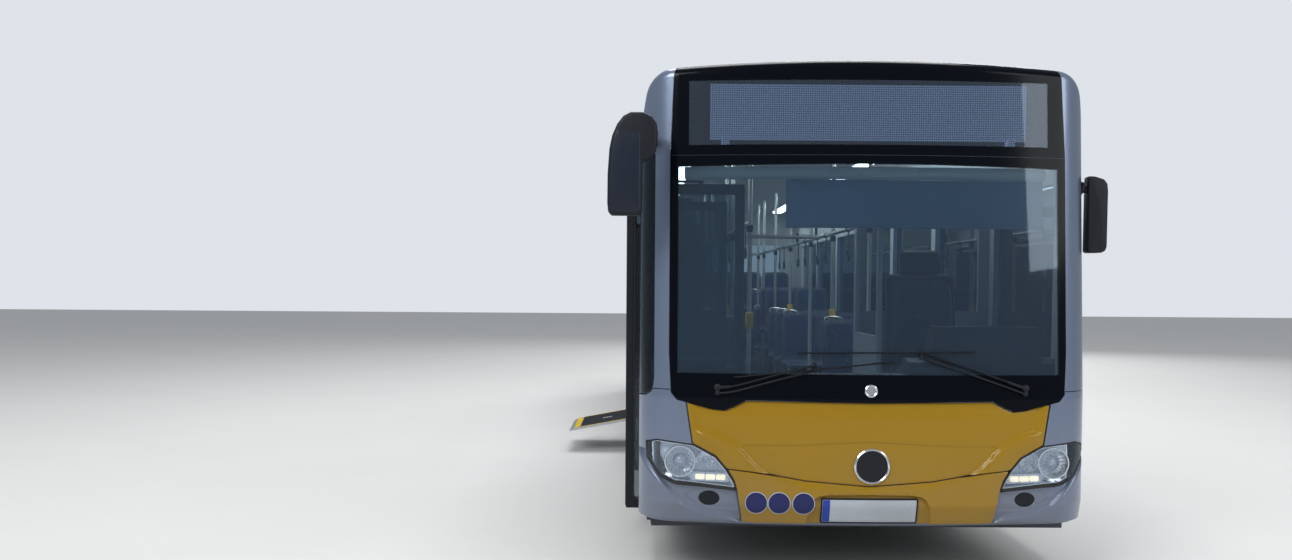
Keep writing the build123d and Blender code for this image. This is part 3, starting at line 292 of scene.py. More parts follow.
# %% Hang the lamps
# Each lamp: its name, place, the point it faces, its side length and its power in watts
LAMPS = [
    ("key", (-8.0, -12.0, 11.0), (0.0, 0.0, 1.5), 7.0, 1250),
    ("fill", (10.0, -10.0, 7.0), (0.0, 1.0, 1.5), 7.0, 500),
    ("top", (0.0, 4.0, 13.0), (0.0, 3.0, 0.0), 9.0, 1300),
    ("back", (6.0, 20.0, 8.0), (0.0, 6.0, 1.5), 7.0, 900),
]
for name, place, target, size, power in LAMPS:
    data = bpy.data.lights.new(name, "AREA")
    data.shape = "SQUARE"
    data.size = size
    data.energy = power
    lamp = bpy.data.objects.new(name, data)
    bpy.context.scene.collection.objects.link(lamp)
    lamp.location = place
    lamp.rotation_euler = (Vector(target) - Vector(place)).to_track_quat("-Z", "Y").to_euler()
print("lamps:", [lamp[0] for lamp in LAMPS])

# %% [markdown]
# ## Paint, glass and plain materials
# Road vehicles are sprayed with a colour coat and a clear coat over it, and then gather a film of
# road dust, thickest near the sills. The dust here is a height mask broken up by noise, and it dulls
# the gloss as well as the colour. Each finish is written once and shared by all that wear it.


# %% Painted finishes
DUST = linear(118, 108, 96)


def dusted(finish, colour, amount=0.45, top=0.9, low=0.32):
    """The colour with road dust that thickens towards the sill, and the dust's mask."""
    x, y, z = finish.axes()
    film = (1 - z.between(low, top)) * finish.noise(2.2, 5, 0.65).between(0.25, 0.75) * amount
    return finish.mix(film, colour, DUST), film


def silver_paint(name, lined):
    """Metallic paint. A lined panel has the saloon's pale lining on its inner faces."""
    finish = Finish(name)
    flake = finish.noise(900, 1)
    colour = finish.mix(flake, linear(99, 111, 133), linear(124, 137, 162))
    colour, film = dusted(finish, colour)
    relief = finish.bump(finish.noise(1.6, 1), strength=0.04, distance=0.002)
    paint = finish.principled(colour, film * 0.5 + 0.30, metallic=0.5, normal=relief, coat_weight=0.6,
                              coat_roughness=0.10)
    grain = finish.bump(finish.speckle(900), strength=0.1, distance=0.0003)
    lining_colour = finish.mix(finish.noise(2, 3), linear(186, 188, 186), linear(202, 203, 200))
    lining = finish.principled(lining_colour, 0.5, normal=grain)
    return finish.done(finish.blend(finish.facing_in(), paint, lining) if lined else paint)


def yellow_paint():
    finish = Finish("yellow_paint")
    colour = finish.mix(finish.noise(0.8, 3), linear(144, 110, 12), linear(158, 122, 18))
    colour, film = dusted(finish, colour, amount=0.35)
    relief = finish.bump(finish.noise(260, 2), strength=0.02, distance=0.0004)
    return finish.done(finish.principled(colour, film * 0.5 + 0.24, normal=relief, coat_weight=0.25,
                                         coat_roughness=0.09, specular_ior_level=0.25))


# %% Moulded and metal finishes
def toned(colour, share):
    """The colour made darker or lighter."""
    return tuple(min(1, c * share) for c in colour)


def plastic(name, colour, roughness, grain=1400, depth=0.12, dust=0.0, shine=0.5):
    """A moulded plastic with the fine grain of its tool and a trace of dust."""
    finish = Finish(name)
    shade = finish.mix(finish.noise(3, 4, 0.6), toned(colour, 0.86), toned(colour, 1.12))
    if dust:
        shade, film = dusted(finish, shade, dust, top=1.1)
    relief = finish.bump(finish.speckle(grain), depth, distance=0.0003)
    wear = finish.noise(14, 3) * 0.14 + (roughness - 0.07)
    return finish.done(finish.principled(shade, wear, normal=relief, specular_ior_level=shine))


def metal(name, colour, roughness, brushed=None, metallic=1.0, glow=0.0):
    """A bare metal. brushed is the stretch of its grain along X, Y and Z; glow is painted light, an
    emission that stands for the light a lit lamp spreads over it."""
    finish = Finish(name)
    grain = finish.noise(60, 3, 0.6, stretch=brushed or (1, 1, 1))
    shade = finish.mix(grain, toned(colour, 0.85), colour)
    relief = finish.bump(grain, strength=0.08, distance=0.0004)
    return finish.done(finish.principled(shade, grain * 0.2 + (roughness - 0.1), metallic=metallic,
                                         normal=relief, emission_color=colour, emission_strength=glow))


# %% The finishes of this bus
SILVER = silver_paint("silver_paint", False)
LINED_SILVER = silver_paint("lined_silver_paint", True)
YELLOW = yellow_paint()
BLACK = plastic("black_plastic", linear(19, 23, 31), roughness=0.5, shine=0.3)
BLACK_GLOSS = plastic("black_gloss", linear(12, 15, 23), roughness=0.16, grain=600, depth=0.01, shine=0.35)
RUBBER = plastic("black_rubber", linear(24, 24, 25), roughness=0.62, grain=900, depth=0.2)
UNDERBODY = plastic("underbody_paint", linear(30, 30, 31), roughness=0.7, grain=300, depth=0.4, dust=0.7)
GREY_PANEL = plastic("grey_panel", linear(138, 142, 148), roughness=0.45)
PALE_PANEL = plastic("pale_panel", linear(196, 198, 198), roughness=0.45)
DARK_BLUE = plastic("seat_shell_blue", linear(34, 42, 66), roughness=0.45, grain=900)
SIGNAL_YELLOW = plastic("signal_yellow", linear(222, 178, 30), roughness=0.5, grain=900)
RED_LENS = plastic("red_lens", linear(150, 14, 16), roughness=0.18, grain=300, depth=0.05)
AMBER_LENS = plastic("amber_lens", linear(206, 104, 18), roughness=0.18, grain=300, depth=0.05)
CLEAR_LENS = plastic("clear_lens", linear(196, 200, 205), roughness=0.16, grain=300, depth=0.05)
ROOF_COVER = plastic("roof_cover", linear(205, 206, 205), roughness=0.4, grain=500, depth=0.05)
CHROME = metal("chrome", (0.86, 0.88, 0.92), roughness=0.18)
# LAMP_GREY and REFLECTOR glow faintly: painted light on the lamp's inner parts.
LAMP_GREY = metal("lamp_grey", linear(214, 224, 238), roughness=0.26, metallic=0.25, glow=0.07)
REFLECTOR = metal("lamp_reflector", linear(246, 250, 255), roughness=0.16, metallic=0.85, glow=0.04)
STEEL_RAIL = metal("satin_rail", (0.72, 0.70, 0.62), roughness=0.30, brushed=(1, 1, 6))
ALUMINIUM = metal("bare_aluminium", (0.66, 0.67, 0.69), roughness=0.38, brushed=(2, 14, 2))
IRON = metal("axle_castings", (0.09, 0.088, 0.085), roughness=0.62, metallic=0.6)
WHEEL_SILVER = metal("wheel_paint", linear(172, 175, 178), roughness=0.42, metallic=0.45)


# %% [markdown]
# ## Glass
# Bus glass is tinted, and its edge carries a fired black band that hides the glue. A Transparent
# shader lets light into the saloon, which a refracting one would block, and a mirror finish over it
# by Fresnel gives the reflection. The band is a mask from the pane's own coordinates.


# %% Tinted glass with a black band
def glass(name, tint, band=None, painted_reflection=0.0, reflection_colour=(0.05, 0.06, 0.07)):
    """band maps the axes to a mask that is 1 where the glass is black, and painted_reflection is the
    share of a flat diffuse coat in reflection_colour over the pane: a painted reflection of the sky."""
    finish = Finish(name)
    clear = Signal(finish, finish.node("BsdfTransparent", {0: tint}).outputs[0])
    # A flat diffuse coat over the pane: its colour is a painted reflection of the sky.
    film = finish.principled(reflection_colour, 0.25)
    seen = finish.blend(painted_reflection, clear, film)
    glossy = finish.node("BsdfGlossy", {"Color": (0.8, 0.9, 1.0), "Roughness": 0.03})
    mirror = Signal(finish, glossy.outputs[0])
    fresnel = Signal(finish, finish.node("Fresnel", {"IOR": 1.45}).outputs[0])
    pane = finish.blend(fresnel, seen, mirror)
    if band:
        black = finish.principled(linear(5, 9, 16), 0.14, specular_ior_level=0.12)
        pane = finish.blend(band(*finish.axes()), pane, black)
    return finish.done(pane)


# %% The panes and their bands
# The clear part of each pane, its half width and its heights
WINDSCREEN_CLEAR_HALF = 1.062
WINDSCREEN_CLEAR_LOW = 1.185
WINDSCREEN_CLEAR_HIGH = 2.348
WINDSCREEN_TOP_BOW = 0.014
BAND_SOFT = 0.004
DISPLAY_CLEAR_HALF = 1.005
DISPLAY_CLEAR_LOW = 2.455
DISPLAY_CLEAR_HIGH = 2.815


def windscreen_band(x, y, z):
    side = x.absolute().between(WINDSCREEN_CLEAR_HALF - BAND_SOFT, WINDSCREEN_CLEAR_HALF + BAND_SOFT)
    low = 1 - z.between(WINDSCREEN_CLEAR_LOW - BAND_SOFT, WINDSCREEN_CLEAR_LOW + BAND_SOFT)
    arched = z + x * x * WINDSCREEN_TOP_BOW
    high = arched.between(WINDSCREEN_CLEAR_HIGH - BAND_SOFT, WINDSCREEN_CLEAR_HIGH + BAND_SOFT)
    return side.either(low).either(high)


def display_band(x, y, z):
    side = x.absolute() > DISPLAY_CLEAR_HALF
    outside = (z < DISPLAY_CLEAR_LOW).either(z > DISPLAY_CLEAR_HIGH)
    return side.either(outside)


# The bluish coats on these panes paint the sky's reflection.
WINDSCREEN_GLASS = glass("windscreen_glass", (0.80, 0.89, 0.94), windscreen_band, painted_reflection=0.11,
                         reflection_colour=linear(66, 92, 120))
DISPLAY_GLASS = glass("display_glass", (0.46, 0.52, 0.60), display_band, painted_reflection=0.22,
                      reflection_colour=linear(78, 90, 108))
SIDE_GLASS = glass("side_glass", (0.60, 0.66, 0.70), painted_reflection=0.06, reflection_colour=linear(50, 62, 80))
DOOR_GLASS = glass("door_glass", (0.50, 0.55, 0.57), painted_reflection=0.04)
LENS_GLASS = glass("lens_glass", (0.94, 0.96, 0.98), painted_reflection=0.025, reflection_colour=linear(150, 170, 196))


# %% Floor covering
def floor_covering():
    """Dark vinyl with pale and blue specks."""
    finish = Finish("floor_vinyl")
    specks = (finish.speckle(230) < 0.22) * finish.noise(90, 2).between(0.45, 0.62)
    colour = finish.mix(specks, linear(62, 66, 74), linear(128, 134, 146))
    relief = finish.bump(finish.noise(300, 2), strength=0.1, distance=0.0004)
    return finish.done(finish.principled(colour, 0.6, normal=relief))


FLOOR_VINYL = floor_covering()

# %% [markdown]
# ## Helpers for meshes
# Most fittings are one of a few forms: a block with rounded edges, a tube along a path, a turned
# ring, a plate cut from an outline. Each helper gives points and faces, and one function joins what
# it is given into a single object that rides on its body. Hand-placed vertices would do the same
# work with far more numbers.


# %% Points and faces
def block(low, high, radius=0.004, steps=2):
    """A block with rounded edges between any two opposite corners."""
    form = bmesh.new()
    size = [abs(b - a) for a, b in zip(low, high)]
    middle = [(a + b) / 2 for a, b in zip(low, high)]
    place = Matrix.Translation(middle) @ Matrix.Diagonal((*size, 1))
    bmesh.ops.create_cube(form, size=1, matrix=place)
    bmesh.ops.bevel(form, geom=form.edges[:], offset=min(radius, 0.49 * min(size)), segments=steps,
                    profile=0.5, affect="EDGES")
    return harvest(form)


def harvest(form):
    """A bmesh as a list of points and a list of faces."""
    form.verts.index_update()
    points = [v.co.copy() for v in form.verts]
    faces = [tuple(v.index for v in f.verts) for f in form.faces]
    form.free()
    return points, faces


def turned(profile, centre, along, sides=40, closed=True):
    """A ring about an axis through centre, from (distance along, radius) pairs. An open profile
    that starts and ends on the axis makes a solid."""
    turn = Vector(along).to_track_quat("Z", "Y")
    points = []
    for i in range(sides):
        angle = 2 * pi * i / sides
        points += [Vector(centre) + turn @ Vector((r * cos(angle), r * sin(angle), d)) for d, r in profile]
    count = len(profile)
    spans = count if closed else count - 1
    faces = []
    for i in range(sides):
        for k in range(spans):
            a, b = i * count + k, i * count + (k + 1) % count
            c, d = ((i + 1) % sides) * count + (k + 1) % count, ((i + 1) % sides) * count + k
            faces.append((a, d, c, b))
    return points, faces


# %% Discs, smooth paths and tubes
def disc(centre, along, radius, depth, bevel=0.002, sides=32):
    """A round plate whose face stands depth in front of centre."""
    profile = [(0, 0.0), (0, radius), (depth - bevel, radius), (depth, radius - bevel), (depth, 0.0)]
    return turned(profile, centre, along, sides, closed=False)


def smooth_path(points, steps=6):
    """A smooth curve that runs through all the points."""
    path = []
    knots = [Vector(p) for p in points]
    for i in range(len(knots) - 1):
        before = knots[max(i - 1, 0)]
        a, b = knots[i], knots[i + 1]
        after = knots[min(i + 2, len(knots) - 1)]
        for k in range(steps):
            t = k / steps
            path.append(0.5 * ((2 * a) + (b - before) * t + (2 * before - 5 * a + 4 * b - after) * t ** 2
                               + (3 * a - before - 3 * b + after) * t ** 3))
    return path + [knots[-1]]


def tube(path, radius, sides=10, flat=1.0):
    """A tube along a path. flat below 1 makes it wider than it is thick."""
    path = [Vector(p) for p in path]
    points, faces = [], []
    up = Vector((0, 0, 1))
    for i, point in enumerate(path):
        ahead = (path[min(i + 1, len(path) - 1)] - path[max(i - 1, 0)]).normalized()
        side = ahead.cross(up)
        if side.length < 0.2:
            side = ahead.cross(Vector((0, 1, 0)))
        side.normalize()
        lift = side.cross(ahead)
        for k in range(sides):
            angle = 2 * pi * k / sides
            points.append(point + side * (radius * cos(angle)) + lift * (radius * flat * sin(angle)))
    for i in range(len(path) - 1):
        for k in range(sides):
            a, b = i * sides + k, i * sides + (k + 1) % sides
            faces.append((a, b, b + sides, a + sides))
    faces.append(tuple(reversed(range(sides))))
    faces.append(tuple(range((len(path) - 1) * sides, len(path) * sides)))
    return points, faces


def closed_tube(ring, radius, sides=8):
    """A tube round a closed line, its ends lapped so that no joint shows."""
    return tube(ring + ring[:2], radius, sides)


# %% A piece on its body
def piece(name, shapes, material, body="coach", sharp=35):
    """One object from several shapes, shaded smooth up to the sharp angle, riding on its body."""
    points, faces = [], []
    for more_points, more_faces in shapes:
        start = len(points)
        points += [tuple(p) for p in more_points]
        faces += [tuple(i + start for i in f) for f in more_faces]
    mesh = bpy.data.meshes.new(name)
    mesh.from_pydata(points, [], faces)
    mesh.validate()
    mesh.polygons.foreach_set("use_smooth", [True] * len(mesh.polygons))
    mesh.set_sharp_from_angle(angle=radians(sharp))
    mesh.materials.append(material)
    made = bpy.data.objects.new(name, mesh)
    bpy.context.scene.collection.objects.link(made)
    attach(made, body)
    print(name, len(mesh.polygons), "faces on", body)
    return made


# %% The separate solids of a node
def islands(name):
    """The boxes of a CAD node's separate solids, each as its lowest and highest corner."""
    mesh = nodes[name].data
    points = np.array([v.co for v in mesh.vertices])
    keys = {}
    merged = [keys.setdefault(tuple(np.round(p, 5)), len(keys)) for p in points]
    parent = list(range(len(keys)))

    def find(i):
        while parent[i] != i:
            parent[i] = parent[parent[i]]
            i = parent[i]
        return i

    for polygon in mesh.polygons:
        first, *others = [merged[i] for i in polygon.vertices]
        for other in others:
            parent[find(other)] = find(first)
    groups = {}
    for point, index in zip(points, merged):
        groups.setdefault(find(index), []).append(point)
    boxes = [(Vector(np.min(group, 0)), Vector(np.max(group, 0))) for group in groups.values()]
    return sorted(boxes, key=lambda box: (round(box[0].y, 2), box[0].x))


# %% Finishes for the CAD nodes
FINISHED_NODES = [
    (WINDSCREEN_GLASS, "windscreen"), (DISPLAY_GLASS, "display_glass"), (LENS_GLASS, "headlamp_lenses"),
    (SIDE_GLASS, "side_windows quarter_glass rear_window"), (SILVER, "front_corners bumper_corners"),
    (LINED_SILVER, "front_frame left_side right_side roof rear_wall"), (FLOOR_VINYL, "floor"),
    (YELLOW, "front_flap front_bumper engine_flap"), (UNDERBODY, "underframe engine"),
    (IRON, "front_axle rear_axle knuckle_left knuckle_right"), (STEEL_RAIL, "grab_rails"),
    (BLACK, "dashboard steering_wheel driver_seat mirrors wipers display_board"),
    (GREY_PANEL, "cab_partition"), (DARK_BLUE, "passenger_seats"), (CHROME, "headlamp_housings"),
    (ROOF_COVER, "air_conditioner roof_hatches"), (BLACK_GLOSS, "tail_lamps"), (ALUMINIUM, "ramp"),
]
NODE_FINISH = {name: finish for finish, names in FINISHED_NODES for name in names.split()}
for side in ("left", "right"):
    NODE_FINISH["front_tyre_" + side] = NODE_FINISH["rear_tyres_" + side] = RUBBER
    NODE_FINISH["front_rim_" + side] = NODE_FINISH["rear_rims_" + side] = WHEEL_SILVER
for number in range(1, 5):
    NODE_FINISH["post_%d" % number] = NODE_FINISH["leaf_%d" % number] = BLACK
    NODE_FINISH["leaf_glass_%d" % number] = DOOR_GLASS
for name, node in nodes.items():
    node.data.materials.clear()
    node.data.materials.append(NODE_FINISH[name])
print("finished CAD nodes:", len(NODE_FINISH))

# %% [markdown]
# ## The curved skin of the front
# Seen from above, the front is a shallow bow that turns into the sides through two tighter corners,
# and it leans back towards the roof. A panel on it is drawn flat, as distance along that bow and
# height, filled with a fine net of triangles and then bent onto the body. That keeps the outline
# sharp and lets swages and recesses be depths added to the net, as a press forms them.

# %% The bow of the front
FRONT_Y = -2.805
HALF_WIDTH = -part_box("right_side")[0].x
BOW_RADIUS = 6.9
CORNER_RADIUS = 0.25
SKIN_GAP = 0.0005
PLAN_HALF = HALF_WIDTH + SKIN_GAP
# How far the front leans back at each of these heights
LEAN_HEIGHTS = (0.30, 0.46, 1.05, 3.00)
LEAN_BACK = (0.055, 0.0, 0.010, 0.160)

corner_reach = PLAN_HALF - CORNER_RADIUS
bow_angle = asin(corner_reach / (BOW_RADIUS - CORNER_RADIUS))
bow_length = BOW_RADIUS * bow_angle
corner_length = CORNER_RADIUS * (pi / 2 - bow_angle)
corner_y = FRONT_Y + BOW_RADIUS - (BOW_RADIUS - CORNER_RADIUS) * cos(bow_angle)


def along_bow(x):
    """The distance along the bow from the middle to the point at x. Beyond the body's half width,
    x counts on along the side."""
    reach = abs(x)
    if reach <= BOW_RADIUS * sin(bow_angle):
        distance = BOW_RADIUS * asin(reach / BOW_RADIUS)
    else:
        turn = asin(min(1, (reach - corner_reach) / CORNER_RADIUS))
        distance = bow_length + CORNER_RADIUS * (turn - bow_angle) + max(0, reach - PLAN_HALF)
    return distance if x >= 0 else -distance


def on_skin(flat, depth):
    """Points on the front from rows of distance along the bow and height, set in by depth."""
    distance, height = np.abs(flat[:, 0]), flat[:, 1]
    turn = np.where(distance < bow_length, distance / BOW_RADIUS,
                    bow_angle + (distance - bow_length) / CORNER_RADIUS)
    turn = np.minimum(turn, pi / 2)
    x = np.where(distance < bow_length, (BOW_RADIUS - depth) * np.sin(turn),
                 corner_reach + (CORNER_RADIUS - depth) * np.sin(turn))
    y = np.where(distance < bow_length, FRONT_Y + BOW_RADIUS - (BOW_RADIUS - depth) * np.cos(turn),
                 corner_y - (CORNER_RADIUS - depth) * np.cos(turn))
    y = y + np.maximum(distance - bow_length - corner_length, 0) + np.interp(height, LEAN_HEIGHTS, LEAN_BACK)
    return np.column_stack([x * np.where(flat[:, 0] < 0, -1, 1), y, height])


def on_front(x, z, inset=0.0):
    """A point on the front skin and the direction out of it."""
    near = [[along_bow(x) + i, z + j] for i, j in ((0, 0), (0.01, 0), (0, 0.01))]
    spot, beside, above = on_skin(np.array(near), inset)
    outward = Vector(beside - spot).cross(Vector(above - spot)).normalized()
    return Vector(spot), outward


# %% Outlines and nets
def both_halves(half_outline):
    """A whole outline from its left half, listed from the centre line outwards."""
    return half_outline + [(-x, z) for x, z in reversed(half_outline) if x > 0]


def circle(x, z, radius, high=None, sides=36):
    """A round outline, or an oval one when its half height is given."""
    turns = [2 * pi * k / sides for k in range(sides)]
    return [(x + radius * cos(turn), z + (high or radius) * sin(turn)) for turn in turns]


def on_half(turn, half_outline):
    """The outline on the left half of the front for turn 1, on the right half for -1."""
    return [(turn * x, z) for x, z in half_outline]


CUT_SHARE = 0.4
STRAIGHT_TURN = 0.06


def rounded(outline, radius, steps=5):
    """The outline with its corners turned into curves. A curve takes at most a share of the
    lines beside it, and a corner that hardly turns stays."""
    result = []
    for i, corner in enumerate(outline):
        corner = np.array(corner)
        before, after = np.array(outline[i - 1]), np.array(outline[(i + 1) % len(outline)])
        into, out = before - corner, after - corner
        turn = pi - atan2(abs(into[0] * out[1] - into[1] * out[0]), into @ out)
        wanted = radius * sin(turn / 2) / max(cos(turn / 2), 0.05)
        cut = min(wanted, CUT_SHARE * hypot(*into), CUT_SHARE * hypot(*out))
        start, end = corner + into / hypot(*into) * cut, corner + out / hypot(*out) * cut
        if turn < STRAIGHT_TURN:
            result.append(tuple(corner))
            continue
        for k in range(steps + 1):
            t = k / steps
            result.append(tuple((1 - t) ** 2 * start + 2 * t * (1 - t) * corner + t ** 2 * end))
    return result


# %% Distances from an outline
def depth_inside(points, outline):
    """How far inside the outline each point lies, in metres; negative outside."""
    ring = np.array(outline)
    nearest = np.full(len(points), np.inf)
    inside = np.zeros(len(points), bool)
    for a, b in zip(ring, np.roll(ring, -1, axis=0)):
        run = b - a
        share = np.clip(((points - a) @ run) / max(run @ run, 1e-12), 0, 1)
        nearest = np.minimum(nearest, np.hypot(*(points - a - share[:, None] * run).T))
        crosses = (a[1] > points[:, 1]) != (b[1] > points[:, 1])
        rise = b[1] - a[1] if abs(b[1] - a[1]) > 1e-12 else 1e-12
        inside ^= crosses & (points[:, 0] < a[0] + (points[:, 1] - a[1]) * run[0] / rise)
    return np.where(inside, nearest, -nearest)


def divided(outline, step):
    """The outline with points at most a step apart."""
    result = []
    for a, b in zip(outline, outline[1:] + outline[:1]):
        count = max(1, int(np.ceil(hypot(b[0] - a[0], b[1] - a[1]) / step)))
        result += [(a[0] + (b[0] - a[0]) * k / count, a[1] + (b[1] - a[1]) * k / count) for k in range(count)]
    return result


def smooth_step(share):
    share = np.clip(share, 0, 1)
    return share * share * (3 - 2 * share)


def beside_line(line, across):
    """Points to one side of a closed line, at the distance across."""
    line = np.array(line)
    run = np.roll(line, -1, axis=0) - np.roll(line, 1, axis=0)
    normal = np.column_stack([-run[:, 1], run[:, 0]]) / np.maximum(np.hypot(*run.T), 1e-9)[:, None]
    return line + normal * across


# %% A pressed panel
# Rows of points beside a panel's edge and across a swage's slope, as shares of their widths
EDGE_ROWS = (0.3, 1.0, -0.3, -1.0)
SLOPE_ROWS = (-0.5, -0.25, 0, 0.25, 0.5)


def skin_panel(outline, thickness, swages=(), inset=0.0, step=0.014, edge=0.004, corner=0.006, holes=(),
               fade=None):
    """A pressed panel on the front, from an outline in X and Z. Each swage is an outline, the
    depth inside it and the width of its slope; a negative depth stands proud. step is the net's
    mesh, edge the radius of the rim, corner that of the outline, and fade scales the swages by
    place."""
    ring = divided([(along_bow(x), z) for x, z in rounded(outline, corner)], step)
    inner_rings = [divided([(along_bow(x), z) for x, z in hole], step) for hole in holes]

    def reach_inside(points):
        reach = depth_inside(points, ring)
        for hole in inner_rings:
            reach = np.minimum(reach, -depth_inside(points, hole))
        return reach

    low, high = np.min(ring, 0), np.max(ring, 0)
    grid = np.stack(np.meshgrid(np.arange(low[0], high[0], step), np.arange(low[1], high[1], step)), -1)
    grid[1::2, :, 0] += step / 2
    loose = [grid.reshape(-1, 2)]
    loose[0] = loose[0][reach_inside(loose[0]) > edge + 0.45 * step]
    for line in [ring, *inner_rings]:
        for across in (share * edge for share in EDGE_ROWS):
            beside = beside_line(line, across)
            loose.append(beside[reach_inside(beside) > abs(across) * 0.85])
    flat_swages = [([(along_bow(x), z) for x, z in swage], deep, slope) for swage, deep, slope in swages]
    for swage, deep, slope in flat_swages:
        for share in SLOPE_ROWS:
            beside = beside_line(divided(swage, max(slope / 2, 0.005)), slope * share)
            loose.append(beside[reach_inside(beside) > edge + 0.002])
    start, edges = 0, []
    for line in [ring, *inner_rings]:
        edges += [(start + i, start + (i + 1) % len(line)) for i in range(len(line))]
        start += len(line)
    points = np.vstack([ring, *inner_rings, *loose])
    net, _, faces, *_ = delaunay_2d_cdt([Vector(p) for p in points], edges, [], 0, 1e-5)
    net = np.array([tuple(p) for p in net])
    centres = np.array([net[list(f)].mean(0) for f in faces])
    faces = [tuple(f) for f, reach in zip(faces, reach_inside(centres)) if reach > 1e-6]
    reach = np.clip(reach_inside(net), 0, edge)
    depth = inset + edge * (1 - np.sqrt(np.maximum(1 - (1 - reach / edge) ** 2, 0)))
    relief = np.zeros(len(net))
    for swage, deep, slope in flat_swages:
        relief = relief + deep * smooth_step(depth_inside(net, swage) / slope + 0.5)
    if fade:
        relief = relief * fade(net)
    front = on_skin(net, depth + relief)
    back = on_skin(net, inset + thickness + relief)
    count = len(net)
    facing = np.cross(front[faces[0][1]] - front[faces[0][0]], front[faces[0][2]] - front[faces[0][0]])
    if facing[1] > 0:
        faces = [(a, c, b) for a, b, c in faces]
    sides = {pair for a, b, c in faces for pair in ((a, b), (b, c), (c, a))}
    rim = [(b, a, a + count, b + count) for a, b in sides if (b, a) not in sides]
    shut = [(a + count, c + count, b + count) for a, b, c in faces]
    return np.vstack([front, back]).tolist(), faces + shut + rim


# %% [markdown]
# ## Yellow flap and bumper
# The flap between windscreen and bumper is one pressed cover. Its middle lies deeper than its
# flanks, and the slope between them sweeps down from each lamp's top and runs on over the
# bumper. A lip leans back under the windscreen and a faint crease crosses the middle. The number
# plate sits in a recess of its own and is left blank, as are the three round signs beside it.

# %% Outlines of the front panels
# Half outlines in X and Z, listed from the centre line outwards or down a side
JOINT = 0.005
FLAP_TOP = [(0, 1.033), (0.683, 1.040), (0.755, 1.003), (0.800, 0.984), (0.867, 0.990), (1.009, 1.024)]
FLAP_SIDE = [(0.975, 0.798), (0.966, 0.791), (0.848, 0.731), (0.788, 0.661)]
FLAP_FOOT = [(0.774, 0.656), (0.671, 0.648), (0.543, 0.630), (0.350, 0.597), (0, 0.570)]
BUMPER_SIDE = [(0.779, 0.651), (0.746, 0.597), (0.729, 0.546), (0.697, 0.356)]
LAMP = [(0.971, 0.786), (1.090, 0.800), (1.174, 0.807), (1.230, 0.790), (1.230, 0.700), (1.218, 0.690),
        (1.160, 0.620), (1.075, 0.580), (0.969, 0.572), (0.735, 0.549), (0.751, 0.590), (0.792, 0.655),
        (0.849, 0.722)]
SWAGE = [(1.03, 0.872), (0.967, 0.868), (0.880, 0.857), (0.800, 0.826), (0.727, 0.777), (0.671, 0.723),
         (0.620, 0.670), (0.570, 0.632)]
SHELF = [(0.500, 0.607), (0.400, 0.583), (0.250, 0.566), (0.120, 0.557), (0, 0.554)]
ABOVE_FLAP, BELOW_FLAP = 1.20, 0.50
LIP_Z = 0.975
CREASE = [(0, 0.814), (0.220, 0.804), (0.400, 0.793), (0.700, 0.789)]
PANEL_SKIN = 0.006
PANEL_INSET = 0.001
PANEL_SHARP = 50
# Depths of the pressed forms and the widths of their slopes
FLANK_PROUD, FLANK_SLOPE = 0.012, 0.02
SWAGE_DEPTH, SWAGE_SLOPE = 0.020, 0.026
LIP_DEPTH, LIP_SLOPE = 0.006, 0.05
CREASE_DEPTH, CREASE_SLOPE = 0.004, 0.012
SHELF_STEP = 0.003
RECESS_DEPTH, RECESS_SLOPE = 0.012, 0.012
SIDE_BLEND = 0.07


# %% The flap
def side_fade(net):
    """Relief flattens towards the joints with the lamps and the silver corners."""
    sides = FLAP_SIDE + BUMPER_SIDE
    between = both_halves([(0, 2.0), (1.030, 2.0), (1.009, 1.024)] + sides + [(0.686, 0), (0, 0)])
    return smooth_step(depth_inside(net, [(along_bow(x), z) for x, z in between]) / SIDE_BLEND)


middle = both_halves([(0, ABOVE_FLAP), (1.03, ABOVE_FLAP)] + SWAGE + [(0.54, BELOW_FLAP), (0, BELOW_FLAP)])
lip = both_halves([(0, ABOVE_FLAP), (1.10, ABOVE_FLAP), (1.10, LIP_Z + 0.012), (0.70, LIP_Z + 0.006),
                   (0, LIP_Z)])
below_crease = both_halves(CREASE + [(0.66, 0.66), (0.50, BELOW_FLAP), (0, BELOW_FLAP)])
flap_outline = both_halves([(x, z - JOINT) for x, z in FLAP_TOP] + FLAP_SIDE + FLAP_FOOT)
everywhere = both_halves([(0, 1.5), (1.3, 1.5), (1.3, 0.1), (0, 0.1)])
flank = (everywhere, -FLANK_PROUD, FLANK_SLOPE)
flap_swages = [flank, (middle, SWAGE_DEPTH, SWAGE_SLOPE), (lip, LIP_DEPTH, LIP_SLOPE),
               (below_crease, CREASE_DEPTH, CREASE_SLOPE)]
flap_shape = skin_panel(flap_outline, PANEL_SKIN, flap_swages, PANEL_INSET, fade=side_fade)
flap = piece("flap_cover", [flap_shape], YELLOW, "front_flap", PANEL_SHARP)
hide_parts("front_flap")

# %% Bumper centre with its plate
PLATE_LOW, PLATE_HIGH, PLATE_HALF = 0.367, 0.496, 0.260
BUMPER_TOP = [(0, 0.565), (0.350, 0.592), (0.543, 0.625), (0.671, 0.643)]
BUMPER_FOOT_Z = 0.356
bumper_outline = both_halves(BUMPER_TOP + BUMPER_SIDE + [(0, BUMPER_FOOT_Z)])
recess = both_halves([(0, 0.522), (0.235, 0.518), (0.280, 0.510), (0.305, 0.495), (0.324, 0.457),
                      (0.352, 0.30)])
over_shelf = both_halves([(0, 0.75), (0.62, 0.75), (0.545, 0.640)] + SHELF[:-1] + [(0, 0.554)])
bumper_swages = [flank, (over_shelf, SWAGE_DEPTH + SHELF_STEP, SWAGE_SLOPE),
                 (recess, FLANK_PROUD + RECESS_DEPTH, RECESS_SLOPE)]
bumper_shape = skin_panel(bumper_outline, PANEL_SKIN, bumper_swages, PANEL_INSET, fade=side_fade)
bumper_middle = piece("bumper_cover", [bumper_shape], YELLOW, "coach", PANEL_SHARP)
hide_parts("front_bumper")

